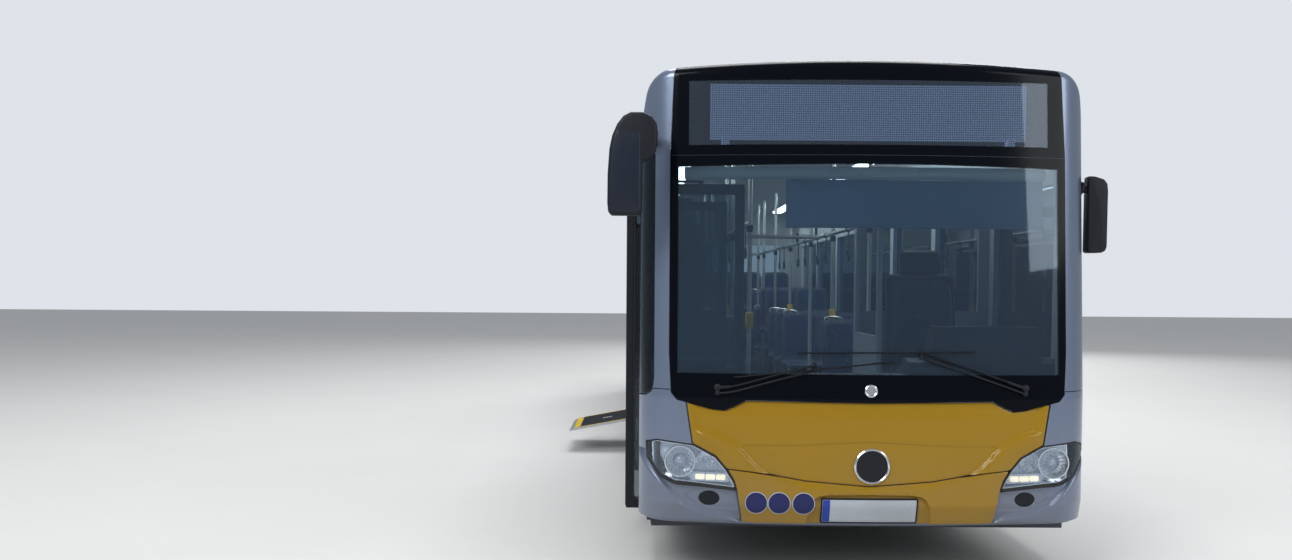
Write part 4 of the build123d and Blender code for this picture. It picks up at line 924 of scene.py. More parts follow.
# %% [markdown]
# ## Silver bumper corners
# Each corner wraps from the yellow centre round to the side under its headlamp. A ridge runs down
# it from the lamp's outer tip to the bumper's foot; the skin above the ridge is scooped, and the
# fog lamp's hole opens in that scoop.

# %% Bumper corners and fog lamp holes
CORNER_END_Y = -2.292
SIDE_END = HALF_WIDTH + (CORNER_END_Y - corner_y)
FOG = (0.885, 0.488)
FOG_DEPTH = 0.0285
FOG_WIDE, FOG_HIGH = 0.058, 0.040
FOG_LAP = 0.0005
SCOOP_DEPTH, SCOOP_SLOPE = 0.022, 0.024
FOG_SCOOP_DEPTH, FOG_SCOOP_SLOPE = 0.004, 0.016
CORNER_OUTLINE = [(0.736, 0.541), (0.969, 0.565), (1.078, 0.573), (1.166, 0.615), (1.224, 0.686),
                  (1.236, 0.700), (1.236, 0.740), (SIDE_END, 0.740), (SIDE_END, 0.356), (0.702, 0.356),
                  (0.734, 0.546)]
RIDGE = [(1.30, 0.76), (1.258, 0.702), (1.180, 0.612), (1.100, 0.525), (1.030, 0.458), (0.940, 0.418),
         (0.850, 0.402), (0.770, 0.388), (0.690, 0.350)]
scoop = RIDGE + [(0.60, 0.350), (0.60, 0.80), (1.30, 0.80)]
fog_scoop = [(1.020, 0.500), (0.985, 0.530), (0.930, 0.545), (0.60, 0.545), (0.60, 0.435), (0.850, 0.430),
             (0.950, 0.455)]
corner_shapes, fog_shapes = [], []
for turn in (1, -1):
    scoops = [(on_half(turn, scoop), SCOOP_DEPTH, SCOOP_SLOPE),
              (on_half(turn, fog_scoop), FOG_SCOOP_DEPTH, FOG_SCOOP_SLOPE)]
    hole = circle(turn * FOG[0], FOG[1], FOG_WIDE, FOG_HIGH)
    corner_shapes.append(skin_panel(on_half(turn, CORNER_OUTLINE), PANEL_SKIN, scoops, PANEL_INSET,
                                    holes=[hole]))
    hollow = circle(turn * FOG[0], FOG[1], FOG_WIDE + FOG_LAP, FOG_HIGH + FOG_LAP)
    fog_shapes.append(skin_panel(hollow, thickness=0.002, inset=FOG_DEPTH, step=0.02, edge=0.0006, corner=0))
corners = piece("bumper_corner_covers", corner_shapes, SILVER, "coach", PANEL_SHARP)
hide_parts("bumper_corners")
piece("fog_cups", fog_shapes, BLACK, "coach")

# %% Blank plate and round signs
SIGN_PLACES = [(-0.623, 0.474), (-0.498, 0.474), (-0.365, 0.474)]
SIGN_RADIUS = 0.0625
SIGN_RIM = 0.004
PLATE_FRAME = 0.008
PLATE_SINK = 0.0045
WHITE_FILM = plastic("white_film", linear(176, 184, 194), roughness=0.4, grain=300, depth=0.02, dust=0.3)
BLUE_FILM = plastic("blue_film", linear(18, 26, 84), roughness=0.4, grain=300, depth=0.02)
BRIGHT_BLUE_FILM = plastic("bright_blue_film", linear(24, 58, 150), roughness=0.4, grain=300, depth=0.02)


def plate(outline, proud, thickness=0.003, corner=0.006):
    """A thin flat sheet on the front, standing proud of the skin."""
    return skin_panel(outline, thickness, [], -proud, step=0.02, edge=min(0.001, thickness / 3),
                      corner=corner)


def sign(x, z, radius, proud):
    """A round sheet on the raised flank of the bumper."""
    return plate(circle(x, z, radius), FLANK_PROUD + proud, thickness=0.0015, corner=0)


def frame_box(x0, x1, z0, z1, margin=0.0):
    """A rectangle's outline, made smaller all round by the margin."""
    x0, x1, z0, z1 = x0 + margin, x1 - margin, z0 + margin, z1 - margin
    return [(x0, z0), (x1, z0), (x1, z1), (x0, z1)]


outer_edge = frame_box(-PLATE_HALF, PLATE_HALF, PLATE_LOW, PLATE_HIGH, -PLATE_FRAME)
plate_face = frame_box(-PLATE_HALF, PLATE_HALF, PLATE_LOW, PLATE_HIGH)
frame_shape = skin_panel(outer_edge, thickness=0.014, swages=[(plate_face, 0.005, 0.003)], inset=0.002,
                         step=0.02, edge=0.003, corner=0.01)
piece("plate_frame", [frame_shape], BLACK, "coach")
piece("plate_blank", [plate(plate_face, -PLATE_SINK)], WHITE_FILM, "coach")
STRIP_MARGIN, STRIP_END = 0.002, 0.042
strip = frame_box(-PLATE_HALF + STRIP_MARGIN, -PLATE_HALF + STRIP_END, PLATE_LOW + STRIP_MARGIN,
                  PLATE_HIGH - STRIP_MARGIN)
piece("plate_strip", [plate(strip, proud=-0.0038, thickness=0.001, corner=0.002)], BRIGHT_BLUE_FILM, "coach")
rims = [sign(x, z, SIGN_RADIUS, proud=0.0008) for x, z in SIGN_PLACES]
discs = [sign(x, z, SIGN_RADIUS - SIGN_RIM, proud=0.0014) for x, z in SIGN_PLACES]
piece("sign_rims", rims, WHITE_FILM, "coach")
piece("sign_discs", discs, BLUE_FILM, "coach")

# %% The emblem's place and the small badge
EMBLEM_PLACE = (0.010, 0.681)
EMBLEM_RADIUS = 0.098
EMBLEM_INSET = 0.014
BADGE_PLACE = (0.0, 1.097)
spot, outward = on_front(*EMBLEM_PLACE, EMBLEM_INSET)
piece("emblem_disc", [disc(spot, outward, EMBLEM_RADIUS - 0.007, depth=0.009, bevel=0.003, sides=48)],
      BLACK_GLOSS, "front_flap")
ring_profile = [(0, EMBLEM_RADIUS - 0.012), (0.012, EMBLEM_RADIUS - 0.011), (0.016, EMBLEM_RADIUS - 0.006),
                (0.012, EMBLEM_RADIUS), (0, EMBLEM_RADIUS + 0.001)]
piece("emblem_ring", [turned(ring_profile, spot, outward, 64)], CHROME, "front_flap")
spot, outward = on_front(*BADGE_PLACE)
badge_profile = [(-0.001, 0.024), (0.003, 0.025), (0.006, 0.030), (0.003, 0.035), (-0.001, 0.036)]
piece("screen_badge_place", [turned(badge_profile, spot, outward, 40)], CHROME, "coach")
badge = disc(spot - outward * 0.001, outward, radius=0.025, depth=0.003, bevel=0.001, sides=32)
piece("screen_badge_disc", [badge], GREY_PANEL, "coach")

# %% [markdown]
# ## Headlamps
# Behind each clear lens lie a large fluted bowl with a projector's dome, a smaller bowl for the
# high beam and a lit strip of three cells. A rubber gasket follows the lens's edge, thickest along
# its foot. The bowls are turned forms whose radius ripples slightly, which breaks their reflections
# up as flutes do, and a trace of glow stands for the lit strip's light on them.

# %% Places of the lamps
MAIN_LAMP = (1.048, 0.690)
SECOND_LAMP = (0.903, 0.702)
MAIN_RADIUS, SECOND_RADIUS = 0.080, 0.049
BOWL_INSET = 0.026
FLUTE_WAVE = 0.075
FORWARD = (0, -1, 0)
STRIP_CELLS = [(0.820, 0.606), (0.878, 0.606), (0.936, 0.607)]
CELL_HALF, CELL_HALF_HIGH = 0.025, 0.015
STRIP_BACK = [(0.775, 0.632), (0.990, 0.634), (1.000, 0.612), (0.985, 0.582), (0.775, 0.578)]
LAMP_BACK = [(0.990, 0.776), (1.160, 0.795), (1.205, 0.782), (1.206, 0.716), (1.150, 0.640), (1.060, 0.592),
             (0.975, 0.586), (0.760, 0.566), (0.806, 0.652), (0.858, 0.716)]
GASKET_FOOT = [(1.224, 0.700), (1.190, 0.650), (1.150, 0.608), (1.075, 0.573), (0.969, 0.564), (0.850, 0.554),
               (0.736, 0.543)]
GASKET_INSET = 0.004


# %% Bowls and rings
def bowl(x, z, radius, depth, inset, flutes):
    """A fluted reflector opening forwards."""
    spot, _ = on_front(x, z, inset)
    points, faces = [], []
    rings, sides = 9, flutes * 4
    for k in range(rings + 1):
        share = 1 - k / rings
        for i in range(sides):
            angle = 2 * pi * i / sides
            wave = 1 + FLUTE_WAVE * cos(flutes * angle) * share * (1 - share) * 4
            points.append(spot + Vector((radius * share * wave * cos(angle), depth * (1 - share ** 2),
                                         radius * share * wave * sin(angle))))
    for k in range(rings):
        for i in range(sides):
            a, b = k * sides + i, k * sides + (i + 1) % sides
            faces.append((a, b, b + sides, a + sides))
    return points, faces


def lamp_ring(x, z, inner, outer, inset, high=0.012):
    """A bright ring round a bowl or a dome."""
    spot, _ = on_front(x, z, inset)
    profile = [(0, inner), (high, inner + 0.002), (high, outer - 0.003), (0, outer)]
    return turned(profile, spot, FORWARD, 48)


# %% Both headlamps
bowls, rings, domes, cells, shields, gaskets = [], [], [], [], [], []
for turn in (1, -1):
    main, second = (turn * MAIN_LAMP[0], MAIN_LAMP[1]), (turn * SECOND_LAMP[0], SECOND_LAMP[1])
    bowls += [bowl(*main, MAIN_RADIUS, depth=0.052, inset=BOWL_INSET, flutes=18),
              bowl(*second, SECOND_RADIUS, depth=0.040, inset=BOWL_INSET, flutes=12)]
    rings += [lamp_ring(*main, MAIN_RADIUS, outer=0.090, inset=BOWL_INSET),
              lamp_ring(*second, SECOND_RADIUS, outer=0.056, inset=BOWL_INSET),
              lamp_ring(*main, inner=0.036, outer=0.041, inset=0.050, high=0.016)]
    dome_profile = [(0, 0.038), (0.010, 0.036), (0.022, 0.024), (0.027, 0.010), (0.028, 0.0)]
    domes.append(turned(dome_profile, on_front(*main, 0.060)[0], FORWARD, 32, closed=False))
    bulb_profile = [(0, 0.014), (0.010, 0.012), (0.016, 0.0)]
    domes.append(turned(bulb_profile, on_front(*second, 0.050)[0], FORWARD, 24, closed=False))
    for x, z in STRIP_CELLS:
        cell = frame_box(turn * x - CELL_HALF, turn * x + CELL_HALF, z - CELL_HALF_HIGH, z + CELL_HALF_HIGH)
        cells.append(skin_panel(cell, thickness=0.008, inset=0.016, step=0.02))
    shields.append(skin_panel(on_half(turn, STRIP_BACK), thickness=0.006, inset=BOWL_INSET,
                              step=0.02, edge=0.002, corner=0.01))
    shields.append(skin_panel(on_half(turn, LAMP_BACK), thickness=0.003, inset=0.072, step=0.03,
                              edge=0.001, corner=0.02))
    edge_line = [on_front(turn * x, z, GASKET_INSET)[0] for x, z in rounded(LAMP, 0.02)]
    gaskets.append(closed_tube(edge_line, 0.0055))
    foot = smooth_path([(x, z, 0) for x, z in GASKET_FOOT], 4)
    foot_line = [on_front(turn * p.x, p.y, GASKET_INSET)[0] for p in foot]
    gaskets.append(tube(foot_line, 0.0075, 8))


# %% The lit strip and the lamps' pieces
def lit_strip():
    """The warm white of a lit lamp, uneven as light through a ribbed cover."""
    finish = Finish("lit_strip")
    glow = finish.mix(finish.speckle(60).between(0.1, 0.7), (1.0, 0.93, 0.74), (1.0, 0.84, 0.58))
    return finish.done(finish.principled(linear(250, 240, 215), 0.3, emission_color=glow,
                                         emission_strength=0.85))


LIT = lit_strip()
piece("lamp_bowls", bowls, REFLECTOR, "coach", 60)
piece("lamp_rings", rings, CHROME, "coach")
piece("lamp_domes", domes, LAMP_GREY, "coach")
piece("lamp_backs", shields, LAMP_GREY, "coach")
piece("lamp_strips", cells, LIT, "coach")
piece("lamp_gaskets", gaskets, RUBBER, "coach")

# %% [markdown]
# ## Mirrors and wipers
# Bus mirrors hang from thick arms with the glass facing back. The head is an outline given depth,
# with its edges rolled over; a lighter bluish cover on its front, ending at a split line, is painted
# light on the lit face. A wiper is a sprung arm with a second rod beside it, which keeps the blade
# level, and a blade held at its middle.


# %% Solid outlines with rolled edges
def rolled(outline, near, far, roll, steps=4, dome=0.0):
    """A body between two Y places from an outline in X and Z, its edges rolled over."""
    ring = np.array(rounded(outline, 0.02, 4))
    if sum(a[0] * b[1] - b[0] * a[1] for a, b in zip(ring, np.roll(ring, -1, axis=0))) < 0:
        ring = ring[::-1]
    front = [(near + roll * (1 - cos(t)), roll * (1 - sin(t))) for t in np.linspace(0, pi / 2, steps)]
    back = [(far - roll * (1 - cos(t)), roll * (1 - sin(t))) for t in np.linspace(pi / 2, 0, steps)]
    points, faces = [], []
    for y, shrink in front + back:
        for x, z in beside_line(ring, shrink):
            points.append(Vector((x, y, z)))
    count, rows = len(ring), 2 * steps
    for k in range(rows - 1):
        for i in range(count):
            a, b = k * count + i, k * count + (i + 1) % count
            faces.append((a, b, b + count, a + count))
    for k, turned_round in ((0, False), (rows - 1, True)):
        middle = sum((points[k * count + i] for i in range(count)), Vector()) / count
        middle.y += -dome if k == 0 else 0.0
        points.append(middle)
        for i in range(count):
            pair = (k * count + i, k * count + (i + 1) % count)
            faces.append((pair[1], pair[0], len(points) - 1)
                         if not turned_round else (*pair, len(points) - 1))
    return points, faces


# %% Outlines of the mirrors
KERB_HEAD = [(-1.452, 2.110), (-1.451, 2.265), (-1.442, 2.400), (-1.427, 2.470), (-1.401, 2.530),
             (-1.368, 2.573), (-1.328, 2.594), (-1.264, 2.594), (-1.218, 2.574), (-1.190, 2.535),
             (-1.182, 2.480), (-1.190, 2.400), (-1.206, 2.362), (-1.234, 2.340), (-1.262, 2.334),
             (-1.264, 2.064), (-1.278, 2.044), (-1.430, 2.044), (-1.447, 2.062)]
KERB_LIT_FRONT = [(-1.440, 2.075), (-1.442, 2.270), (-1.434, 2.395), (-1.420, 2.462), (-1.402, 2.500),
              (-1.272, 2.486), (-1.274, 2.075), (-1.286, 2.058), (-1.424, 2.058)]
KERB_GLASS = [(-1.438, 2.085), (-1.440, 2.270), (-1.430, 2.400), (-1.408, 2.470), (-1.275, 2.470),
              (-1.277, 2.085)]
ROAD_HEAD = [(1.297, 1.872), (1.384, 1.875), (1.405, 1.886), (1.413, 1.910), (1.413, 2.232), (1.408, 2.272),
             (1.388, 2.297), (1.340, 2.312), (1.297, 2.316)]
ROAD_GLASS = [(1.310, 1.890), (1.392, 1.892), (1.399, 1.912), (1.399, 2.226), (1.390, 2.262), (1.310, 2.280)]
MIRROR_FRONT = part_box("mirrors")[0].y
ROAD_FRONT = -2.480
MIRROR_DEPTH = 0.100
ROAD_DEPTH = MIRROR_DEPTH * 0.9
HEAD_SHARP = 50

# %% Mirrors
mirror_arm = smooth_path([(-1.235, MIRROR_FRONT + 0.055, 2.505), (-1.225, MIRROR_FRONT + 0.17, 2.52),
                          (-1.222, -2.62, 2.50), (-1.225, -2.50, 2.47)], 8)
mirror_shapes = [rolled(KERB_HEAD, MIRROR_FRONT, MIRROR_FRONT + MIRROR_DEPTH, roll=0.018, steps=5,
                        dome=0.004),
                 rolled(ROAD_HEAD, ROAD_FRONT, ROAD_FRONT + ROAD_DEPTH, roll=0.020, steps=5, dome=0.004),
                 tube(mirror_arm, 0.034, 16, 0.75),
                 tube([(1.345, ROAD_FRONT + 0.045, 2.225), (1.262, ROAD_FRONT + 0.045, 2.245)], 0.020, 14),
                 disc((1.262, ROAD_FRONT + 0.045, 2.246), (1, 0, -0.2), radius=0.038, depth=0.014)]
mirror_bodies = piece("mirror_bodies", mirror_shapes, BLACK, "coach", HEAD_SHARP)
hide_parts("mirrors")
# A lighter, bluish copy of the black plastic over the kerb mirror's front: painted light on its lit face.
MIRROR_LIT_FRONT = plastic("mirror_lit_front", linear(26, 33, 47), roughness=0.36, grain=900, depth=0.06, shine=0.3)
piece("mirror_lit_front",
      [rolled(KERB_LIT_FRONT, MIRROR_FRONT - 0.004, MIRROR_FRONT + 0.03, roll=0.012, steps=4, dome=0.002)],
      MIRROR_LIT_FRONT, "coach", HEAD_SHARP)
MIRROR_GLASS = metal("mirror_glass", (0.62, 0.66, 0.70), roughness=0.12)
mirror_panes = [rolled(outline, back - 0.004, back + 0.002, roll=0.0015, steps=2) for outline, back in
                ((KERB_GLASS, MIRROR_FRONT + MIRROR_DEPTH), (ROAD_GLASS, ROAD_FRONT + ROAD_DEPTH))]
piece("mirror_glasses", mirror_panes, MIRROR_GLASS, "coach", 40)


# %% Parts of a wiper
ROD_DROP = 0.030
BLADE_PARTS = 8
YOKE_HALF = 0.03


def on_glass(x, z, proud):
    """A point over the windscreen's face."""
    return on_front(x, z, -proud)[0]


def blade(x0, z0, x1, z1, proud=0.022):
    """A wiper blade: its sprung back, the yokes under it and the rubber on the glass."""
    marks = range(BLADE_PARTS + 1)
    ends = [(x0 + (x1 - x0) * k / BLADE_PARTS, z0 + (z1 - z0) * k / BLADE_PARTS) for k in marks]
    bows = [proud + 0.006 * (1 - ((k - 4) / 4) ** 2) for k in marks]
    back = tube([on_glass(x, z, bow) for (x, z), bow in zip(ends, bows)], 0.0065, 8, 0.7)
    rubber = tube([on_glass(x, z - 0.002, 0.004) for x, z in ends], 0.004, 6)
    holder = tube([on_glass(x, z - 0.001, 0.012) for x, z in ends], 0.0055, 6, 0.8)
    yokes = []
    for k in (1, 3, 5, 7):
        x, z = ends[k]
        feet = [on_glass(x - YOKE_HALF, z, 0.012), on_glass(x, z, bows[k]), on_glass(x + YOKE_HALF, z, 0.012)]
        yokes.append(tube(feet, 0.005, 6))
    return [back, holder, *yokes], [rubber]


def wiper(pivot, knee_points, hold, turn):
    """A wiper's arm with its second rod, its pivot's cap and the clamp that holds the blade."""
    run = [pivot, *knee_points, hold]
    line = [on_glass(x, z, 0.020) for x, z in run]
    below = [on_glass(x, z - ROD_DROP, 0.016) for x, z in run]
    spot, outward = on_front(pivot[0], pivot[1], 0.004)
    low, _ = on_front(pivot[0], pivot[1] - ROD_DROP, 0.004)
    path = smooth_path(line, 5)
    return [tube(path, 0.0105, 10, 0.55), tube(smooth_path(below, 5), 0.006, 8),
            disc(spot, outward, radius=0.020, depth=0.030), disc(low, outward, radius=0.014, depth=0.026),
            tube([path[0], path[4]], 0.014, 10, 0.7),
            tube([on_glass(hold[0] + turn * 0.004, hold[1] + 0.012, 0.021),
                  on_glass(hold[0] - turn * 0.002, hold[1] - 0.040, 0.018)], 0.009, 8, 0.6)]


# %% Both wipers
arms = wiper((0.859, 1.112), [(0.722, 1.161), (0.538, 1.223), (0.411, 1.263)], (0.272, 1.311), 1)
arms += wiper((-0.839, 1.108), [(-0.743, 1.120), (-0.525, 1.181)], (-0.306, 1.238), -1)
left_blade, left_rubber = blade(x0=-0.401, z0=1.304, x1=0.569, z1=1.315)
right_blade, right_rubber = blade(x0=-0.752, z0=1.166, x1=0.150, z1=1.262, proud=0.018)
wipers = piece("wiper_arms", arms + left_blade + right_blade, BLACK, "coach", HEAD_SHARP)
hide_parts("wipers")
piece("wiper_rubbers", left_rubber + right_rubber, RUBBER, "coach")

# %% [markdown]
# ## Sides: window seals, trims, arches and lamps
# Side glass is bonded, so only a narrow black seal shows round each pane, with a gap to the next.
# Along the skirt run the joints of its flaps, a low rubber strip, small amber side lamps and a
# rubber lip round each wheel arch. All of them repeat along the body, so one loop makes each kind,
# and the seals take their places from the CAD's own panes.

# %% Seals round the panes
SIDE_FACE = HALF_WIDTH
PANE_LAP = 0.003


def pane_seal(low, high, width=0.011, proud=0.0035):
    """A rounded frame round a side pane, standing on its outer face."""
    sense = 1 if high.x > 0 else -1
    face = max(abs(low.x), abs(high.x))
    y0, y1, z0, z1 = low.y - PANE_LAP, high.y + PANE_LAP, low.z - PANE_LAP, high.z + PANE_LAP
    outer = rounded(frame_box(y0, y1, z0, z1), 0.045, 5)
    inner = rounded(frame_box(y0, y1, z0, z1, width), 0.038, 5)
    crest = [(a * 0.7 + c * 0.3, b * 0.7 + d * 0.3) for (a, b), (c, d) in zip(outer, inner)]
    levels = [(outer, -0.002), (outer, proud * 0.7), (crest, proud), (inner, proud * 0.6), (inner, -0.002)]
    points = [Vector((sense * (face + rise), y, z)) for line, rise in levels for y, z in line]
    count = len(outer)
    faces = []
    for k in range(len(levels)):
        after = (k + 1) % len(levels)
        for i in range(count):
            j = (i + 1) % count
            quad = (k * count + i, k * count + j, after * count + j, after * count + i)
            faces.append(quad if sense > 0 else tuple(reversed(quad)))
    return points, faces


panes = islands("side_windows")
piece("pane_seals", [pane_seal(low, high) for low, high in panes], RUBBER, "coach")

# %% Places along the sides
AXLE_Z = 0.478
ARCH_RADIUS = 0.560
WHEELBASE = 5.9
SKIRT_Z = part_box("right_side")[0].z
# On each side: where the skirt starts, where it ends and the doorways that break it
SKIRT_START = {1: -2.28, -1: -0.88}
SKIRT_END = 9.05
DOORS = {-1: [(-2.29, -0.89), (1.93, 3.33)], 1: []}
SKIRT_GAP = 0.012
FLAP_LENGTH = 0.95
SKIRT_TOP = 0.905
JOINT_HALF = 0.0025
LAMP_Z, LAMP_HALF_LONG, LAMP_HALF_HIGH, LAMP_FOOT_RIM = 0.660, 0.045, 0.020, 0.009
# A flap longer than CATCH_FLAP has two catches, this far either side of its middle
CATCH_Z, CATCH_REACH, CATCH_FLAP = 0.865, 0.28, 0.75
GUTTER_Z, GUTTER_END = 2.432, 9.04


def arch_lip(sense, axle_y):
    """A rubber lip over a wheel arch and down to the sill."""
    foot = SKIRT_Z + 0.002
    line = [(axle_y + ARCH_RADIUS * cos(t), AXLE_Z + ARCH_RADIUS * sin(t)) for t in np.linspace(0, pi, 40)]
    line = [(axle_y + ARCH_RADIUS, foot), *line, (axle_y - ARCH_RADIUS, foot)]
    return tube([(sense * (SIDE_FACE + 0.001), y, z) for y, z in line], 0.010, 8)


def on_side(sense, back, proud, y, z, radius, steps=2):
    """A block on a side's face, from back behind it to proud of it, over spans in Y and Z."""
    face = sense * SIDE_FACE
    return block((face - sense * back, y[0], z[0]), (face + sense * proud, y[1], z[1]), radius, steps)


def about(middle, half):
    """The two ends of a span about its middle."""
    return middle - half, middle + half


# %% Arch lips and the skirt's fittings
lips = [arch_lip(sense, axle_y) for sense in (1, -1) for axle_y in (0.0, WHEELBASE)]
piece("arch_lips", lips, RUBBER, "coach", 60)


def skirt_runs(sense):
    """The stretches of skirt between doorways and wheel arches, from front to rear."""
    breaks = sorted(DOORS[sense] + [about(axle_y, ARCH_RADIUS) for axle_y in (0.0, WHEELBASE)])
    start, runs = SKIRT_START[sense], []
    for y0, y1 in breaks + [(SKIRT_END, SKIRT_END)]:
        if y0 - SKIRT_GAP > start:
            runs.append((start, y0 - SKIRT_GAP))
        start = max(start, y1 + SKIRT_GAP)
    return runs


strips, flap_joints, side_lamps, lamp_feet, catches = [], [], [], [], []
for sense, (y0, y1) in [(sense, run) for sense in (1, -1) for run in skirt_runs(sense)]:
    strips.append(on_side(sense, 0.002, 0.005, (y0, y1), (SKIRT_Z + 0.002, SKIRT_Z + 0.030), 0.003))
    count = max(1, round((y1 - y0) / FLAP_LENGTH))
    for k in range(count + 1):
        y = y0 + 0.004 + (y1 - y0 - 0.008) * k / count
        flap_joints.append(on_side(sense, 0.001, 0.0006, about(y, JOINT_HALF), (SKIRT_Z + 0.034, SKIRT_TOP),
                                   0.0003, 1))
    for k in range(count):
        middle = y0 + (y1 - y0) * (k + 0.5) / count
        if count > 1 and k % 2 == 0:
            side_lamps.append(on_side(sense, 0, 0.014, about(middle, LAMP_HALF_LONG),
                                      about(LAMP_Z, LAMP_HALF_HIGH), 0.007, 3))
            lamp_feet.append(on_side(sense, 0.001, 0.005, about(middle, LAMP_HALF_LONG + LAMP_FOOT_RIM),
                                     about(LAMP_Z, LAMP_HALF_HIGH + LAMP_FOOT_RIM), 0.003))
        for end in (-CATCH_REACH, CATCH_REACH):
            if (y1 - y0) / count > CATCH_FLAP:
                catches.append(disc((sense * SIDE_FACE, middle + end, CATCH_Z), (sense, 0, 0), radius=0.011,
                                    depth=0.002, bevel=0.001, sides=16))
    top = (SKIRT_TOP - 0.003, SKIRT_TOP + 0.002)
    flap_joints.append(on_side(sense, 0.001, 0.0006, (y0, y1), top, 0.0003, 1))
# A dull near-black that paints shade: it darkens the skirt's joints, and further on it is painted shade
# behind the grille and in the fans' wells.
SHADOW_BLACK = plastic("joint_shadow", linear(22, 24, 28), roughness=0.8, shine=0.1)
piece("skirt_strips", strips, RUBBER, "coach")
piece("skirt_joints", flap_joints, SHADOW_BLACK, "coach")
piece("side_lamp_feet", lamp_feet, BLACK, "coach")
piece("side_lamps", side_lamps, AMBER_LENS, "coach")
piece("skirt_catches", catches, BLACK, "coach")

# %% Repeaters by the front arch and the gutters over the windows
gutters, repeaters = [], []
for sense in (1, -1):
    face = sense * SIDE_FACE
    gutter_x = face - sense * 0.001
    gutters.append(tube([(gutter_x, SKIRT_START[1], GUTTER_Z), (gutter_x, GUTTER_END, GUTTER_Z)], 0.006, 8))
    repeaters.append(disc((face, -0.72 if sense > 0 else 0.68, 0.98), (sense, 0, 0), radius=0.032,
                          depth=0.014, bevel=0.006, sides=28))
piece("roof_gutters", gutters, RUBBER, "coach")
piece("side_repeaters", repeaters, AMBER_LENS, "coach")

# %% [markdown]
# ## Doors and ramp
# Each leaf closes against the next with a hollow rubber nose, and a brush seals its foot. The ramp
# is an aluminium tray faced with a black gritted sheet; a yellow band marks its tip and stays
# visible when it is folded out over the kerb.

# %% Door rubbers
# How far a nose stands past its leaf, its half thickness, and the leaf's middle behind its face
NOSE_REACH, NOSE_HALF = 0.0045, 0.015
LEAF_MIDDLE = 0.018
GLASS_MARGIN = 0.006
for number in range(1, 5):
    low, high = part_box("leaf_%d" % number)
    glass_low, glass_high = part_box("leaf_glass_%d" % number)
    outward = -1 if glass_low.y < (low.y + high.y) / 2 else 1
    outer = low.y if outward < 0 else high.y
    middle = outer - outward * LEAF_MIDDLE
    noses = []
    for x, sense in ((low.x, -1), (high.x, 1)):
        tip, root = x + sense * NOSE_REACH, x - sense * 0.006
        noses.append(block((tip, middle - NOSE_HALF, low.z + 0.012),
                           (root, middle + NOSE_HALF, high.z - 0.004), 0.005, 3))
    noses.append(block((low.x + 0.004, middle - 0.010, low.z - 0.004),
                       (high.x - 0.004, middle + 0.010, low.z + 0.004), 0.003))
    pane = (glass_low.y if outward < 0 else glass_high.y) + outward * 0.001
    outline = frame_box(glass_low.x, glass_high.x, glass_low.z, glass_high.z, GLASS_MARGIN)
    noses.append(closed_tube([(x, pane, z) for x, z in rounded(outline, 0.03, 5)], 0.005, 6))
    piece("door_rubbers_%d" % number, noses, RUBBER, "leaf_%d" % number)

# %% Ramp facing
RAMP_HINGE = Vector((-1.235, 0, 0.358))
RAMP_SLOPE = radians(10.6)
RAMP_TOP = 0.011
RIM_BAND = 0.028
TIP_BAND = (0.108, 0.050)
GRIP_START, GRIP_END = 0.045, 0.115
RIVETS = 8
ramp_low, ramp_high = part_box("ramp")
ramp_length = (RAMP_HINGE.x - ramp_low.x) / cos(RAMP_SLOPE)
flip_x = Matrix.Diagonal((-1, 1, 1, 1))
down_ramp = Matrix.Translation(RAMP_HINGE) @ Matrix.Rotation(-RAMP_SLOPE, 4, "Y") @ flip_x


def on_ramp(x0, x1, y0, y1, low, high, radius=0.0015):
    """A block on the ramp, from distances down it and heights over its top face."""
    points, faces = block((x0, y0, RAMP_TOP + low), (x1, y1, RAMP_TOP + high), radius, 1)
    return [down_ramp @ Vector(p) for p in points], [tuple(reversed(f)) for f in faces]


def gritted(name, colour):
    """Paint with coarse grit rolled into it."""
    finish = Finish(name)
    grit = finish.speckle(420)
    shade = finish.mix(grit, toned(colour, 0.7), toned(colour, 1.3))
    return finish.done(finish.principled(shade, 0.8, normal=finish.bump(grit, strength=0.5, distance=0.0008),
                                         specular_ior_level=0.25))


# %% The ramp's pieces
GRIT_BLACK = gritted("grit_black", linear(30, 33, 38))
GRIT_YELLOW = gritted("grit_yellow", linear(206, 170, 36))
y0, y1 = ramp_low.y, ramp_high.y
grip_end = ramp_length - GRIP_END
piece("ramp_grip", [on_ramp(GRIP_START, grip_end, y0 + RIM_BAND, y1 - RIM_BAND, low=-0.001, high=0.0015)],
      GRIT_BLACK, "ramp")
tip_start, tip_end = [ramp_length - reach for reach in TIP_BAND]
band = [on_ramp(tip_start, tip_end, y0 + RIM_BAND, y1 - RIM_BAND, low=-0.001, high=0.0018)]
band += [on_ramp(GRIP_START, grip_end, y, y + 0.018, low=-0.001, high=0.0022)
         for y in (y0 + 0.006, y1 - 0.024)]
piece("ramp_band", band, GRIT_YELLOW, "ramp")
rivets = []
for k in range(RIVETS):
    for y in (y0 + 0.0145, y1 - 0.0145):
        spot = down_ramp @ Vector((0.07 + k * (ramp_length - 0.20) / (RIVETS - 1), y, RAMP_TOP + 0.002))
        rivets.append(disc(spot, down_ramp.to_3x3() @ Vector((0, 0, 1)), radius=0.005, depth=0.0018,
                           bevel=0.001, sides=12))
grip_hole = about(ramp_length * 0.5, 0.05) + about((y0 + y1) / 2, 0.018)
rivets.append(on_ramp(*grip_hole, low=0.001, high=0.003))
piece("ramp_rivets", rivets, ALUMINIUM, "ramp")

# %% [markdown]
# ## Inside: seats, rails and light
# The seats are thin moulded shells with a pad set in the seat and another in the back. A pad is a
# flat grid whose middle swells and whose rim is drawn down to a seam with piping on it. The cloth
# is a dark blue weave. Strip lights run along both sides of the ceiling.


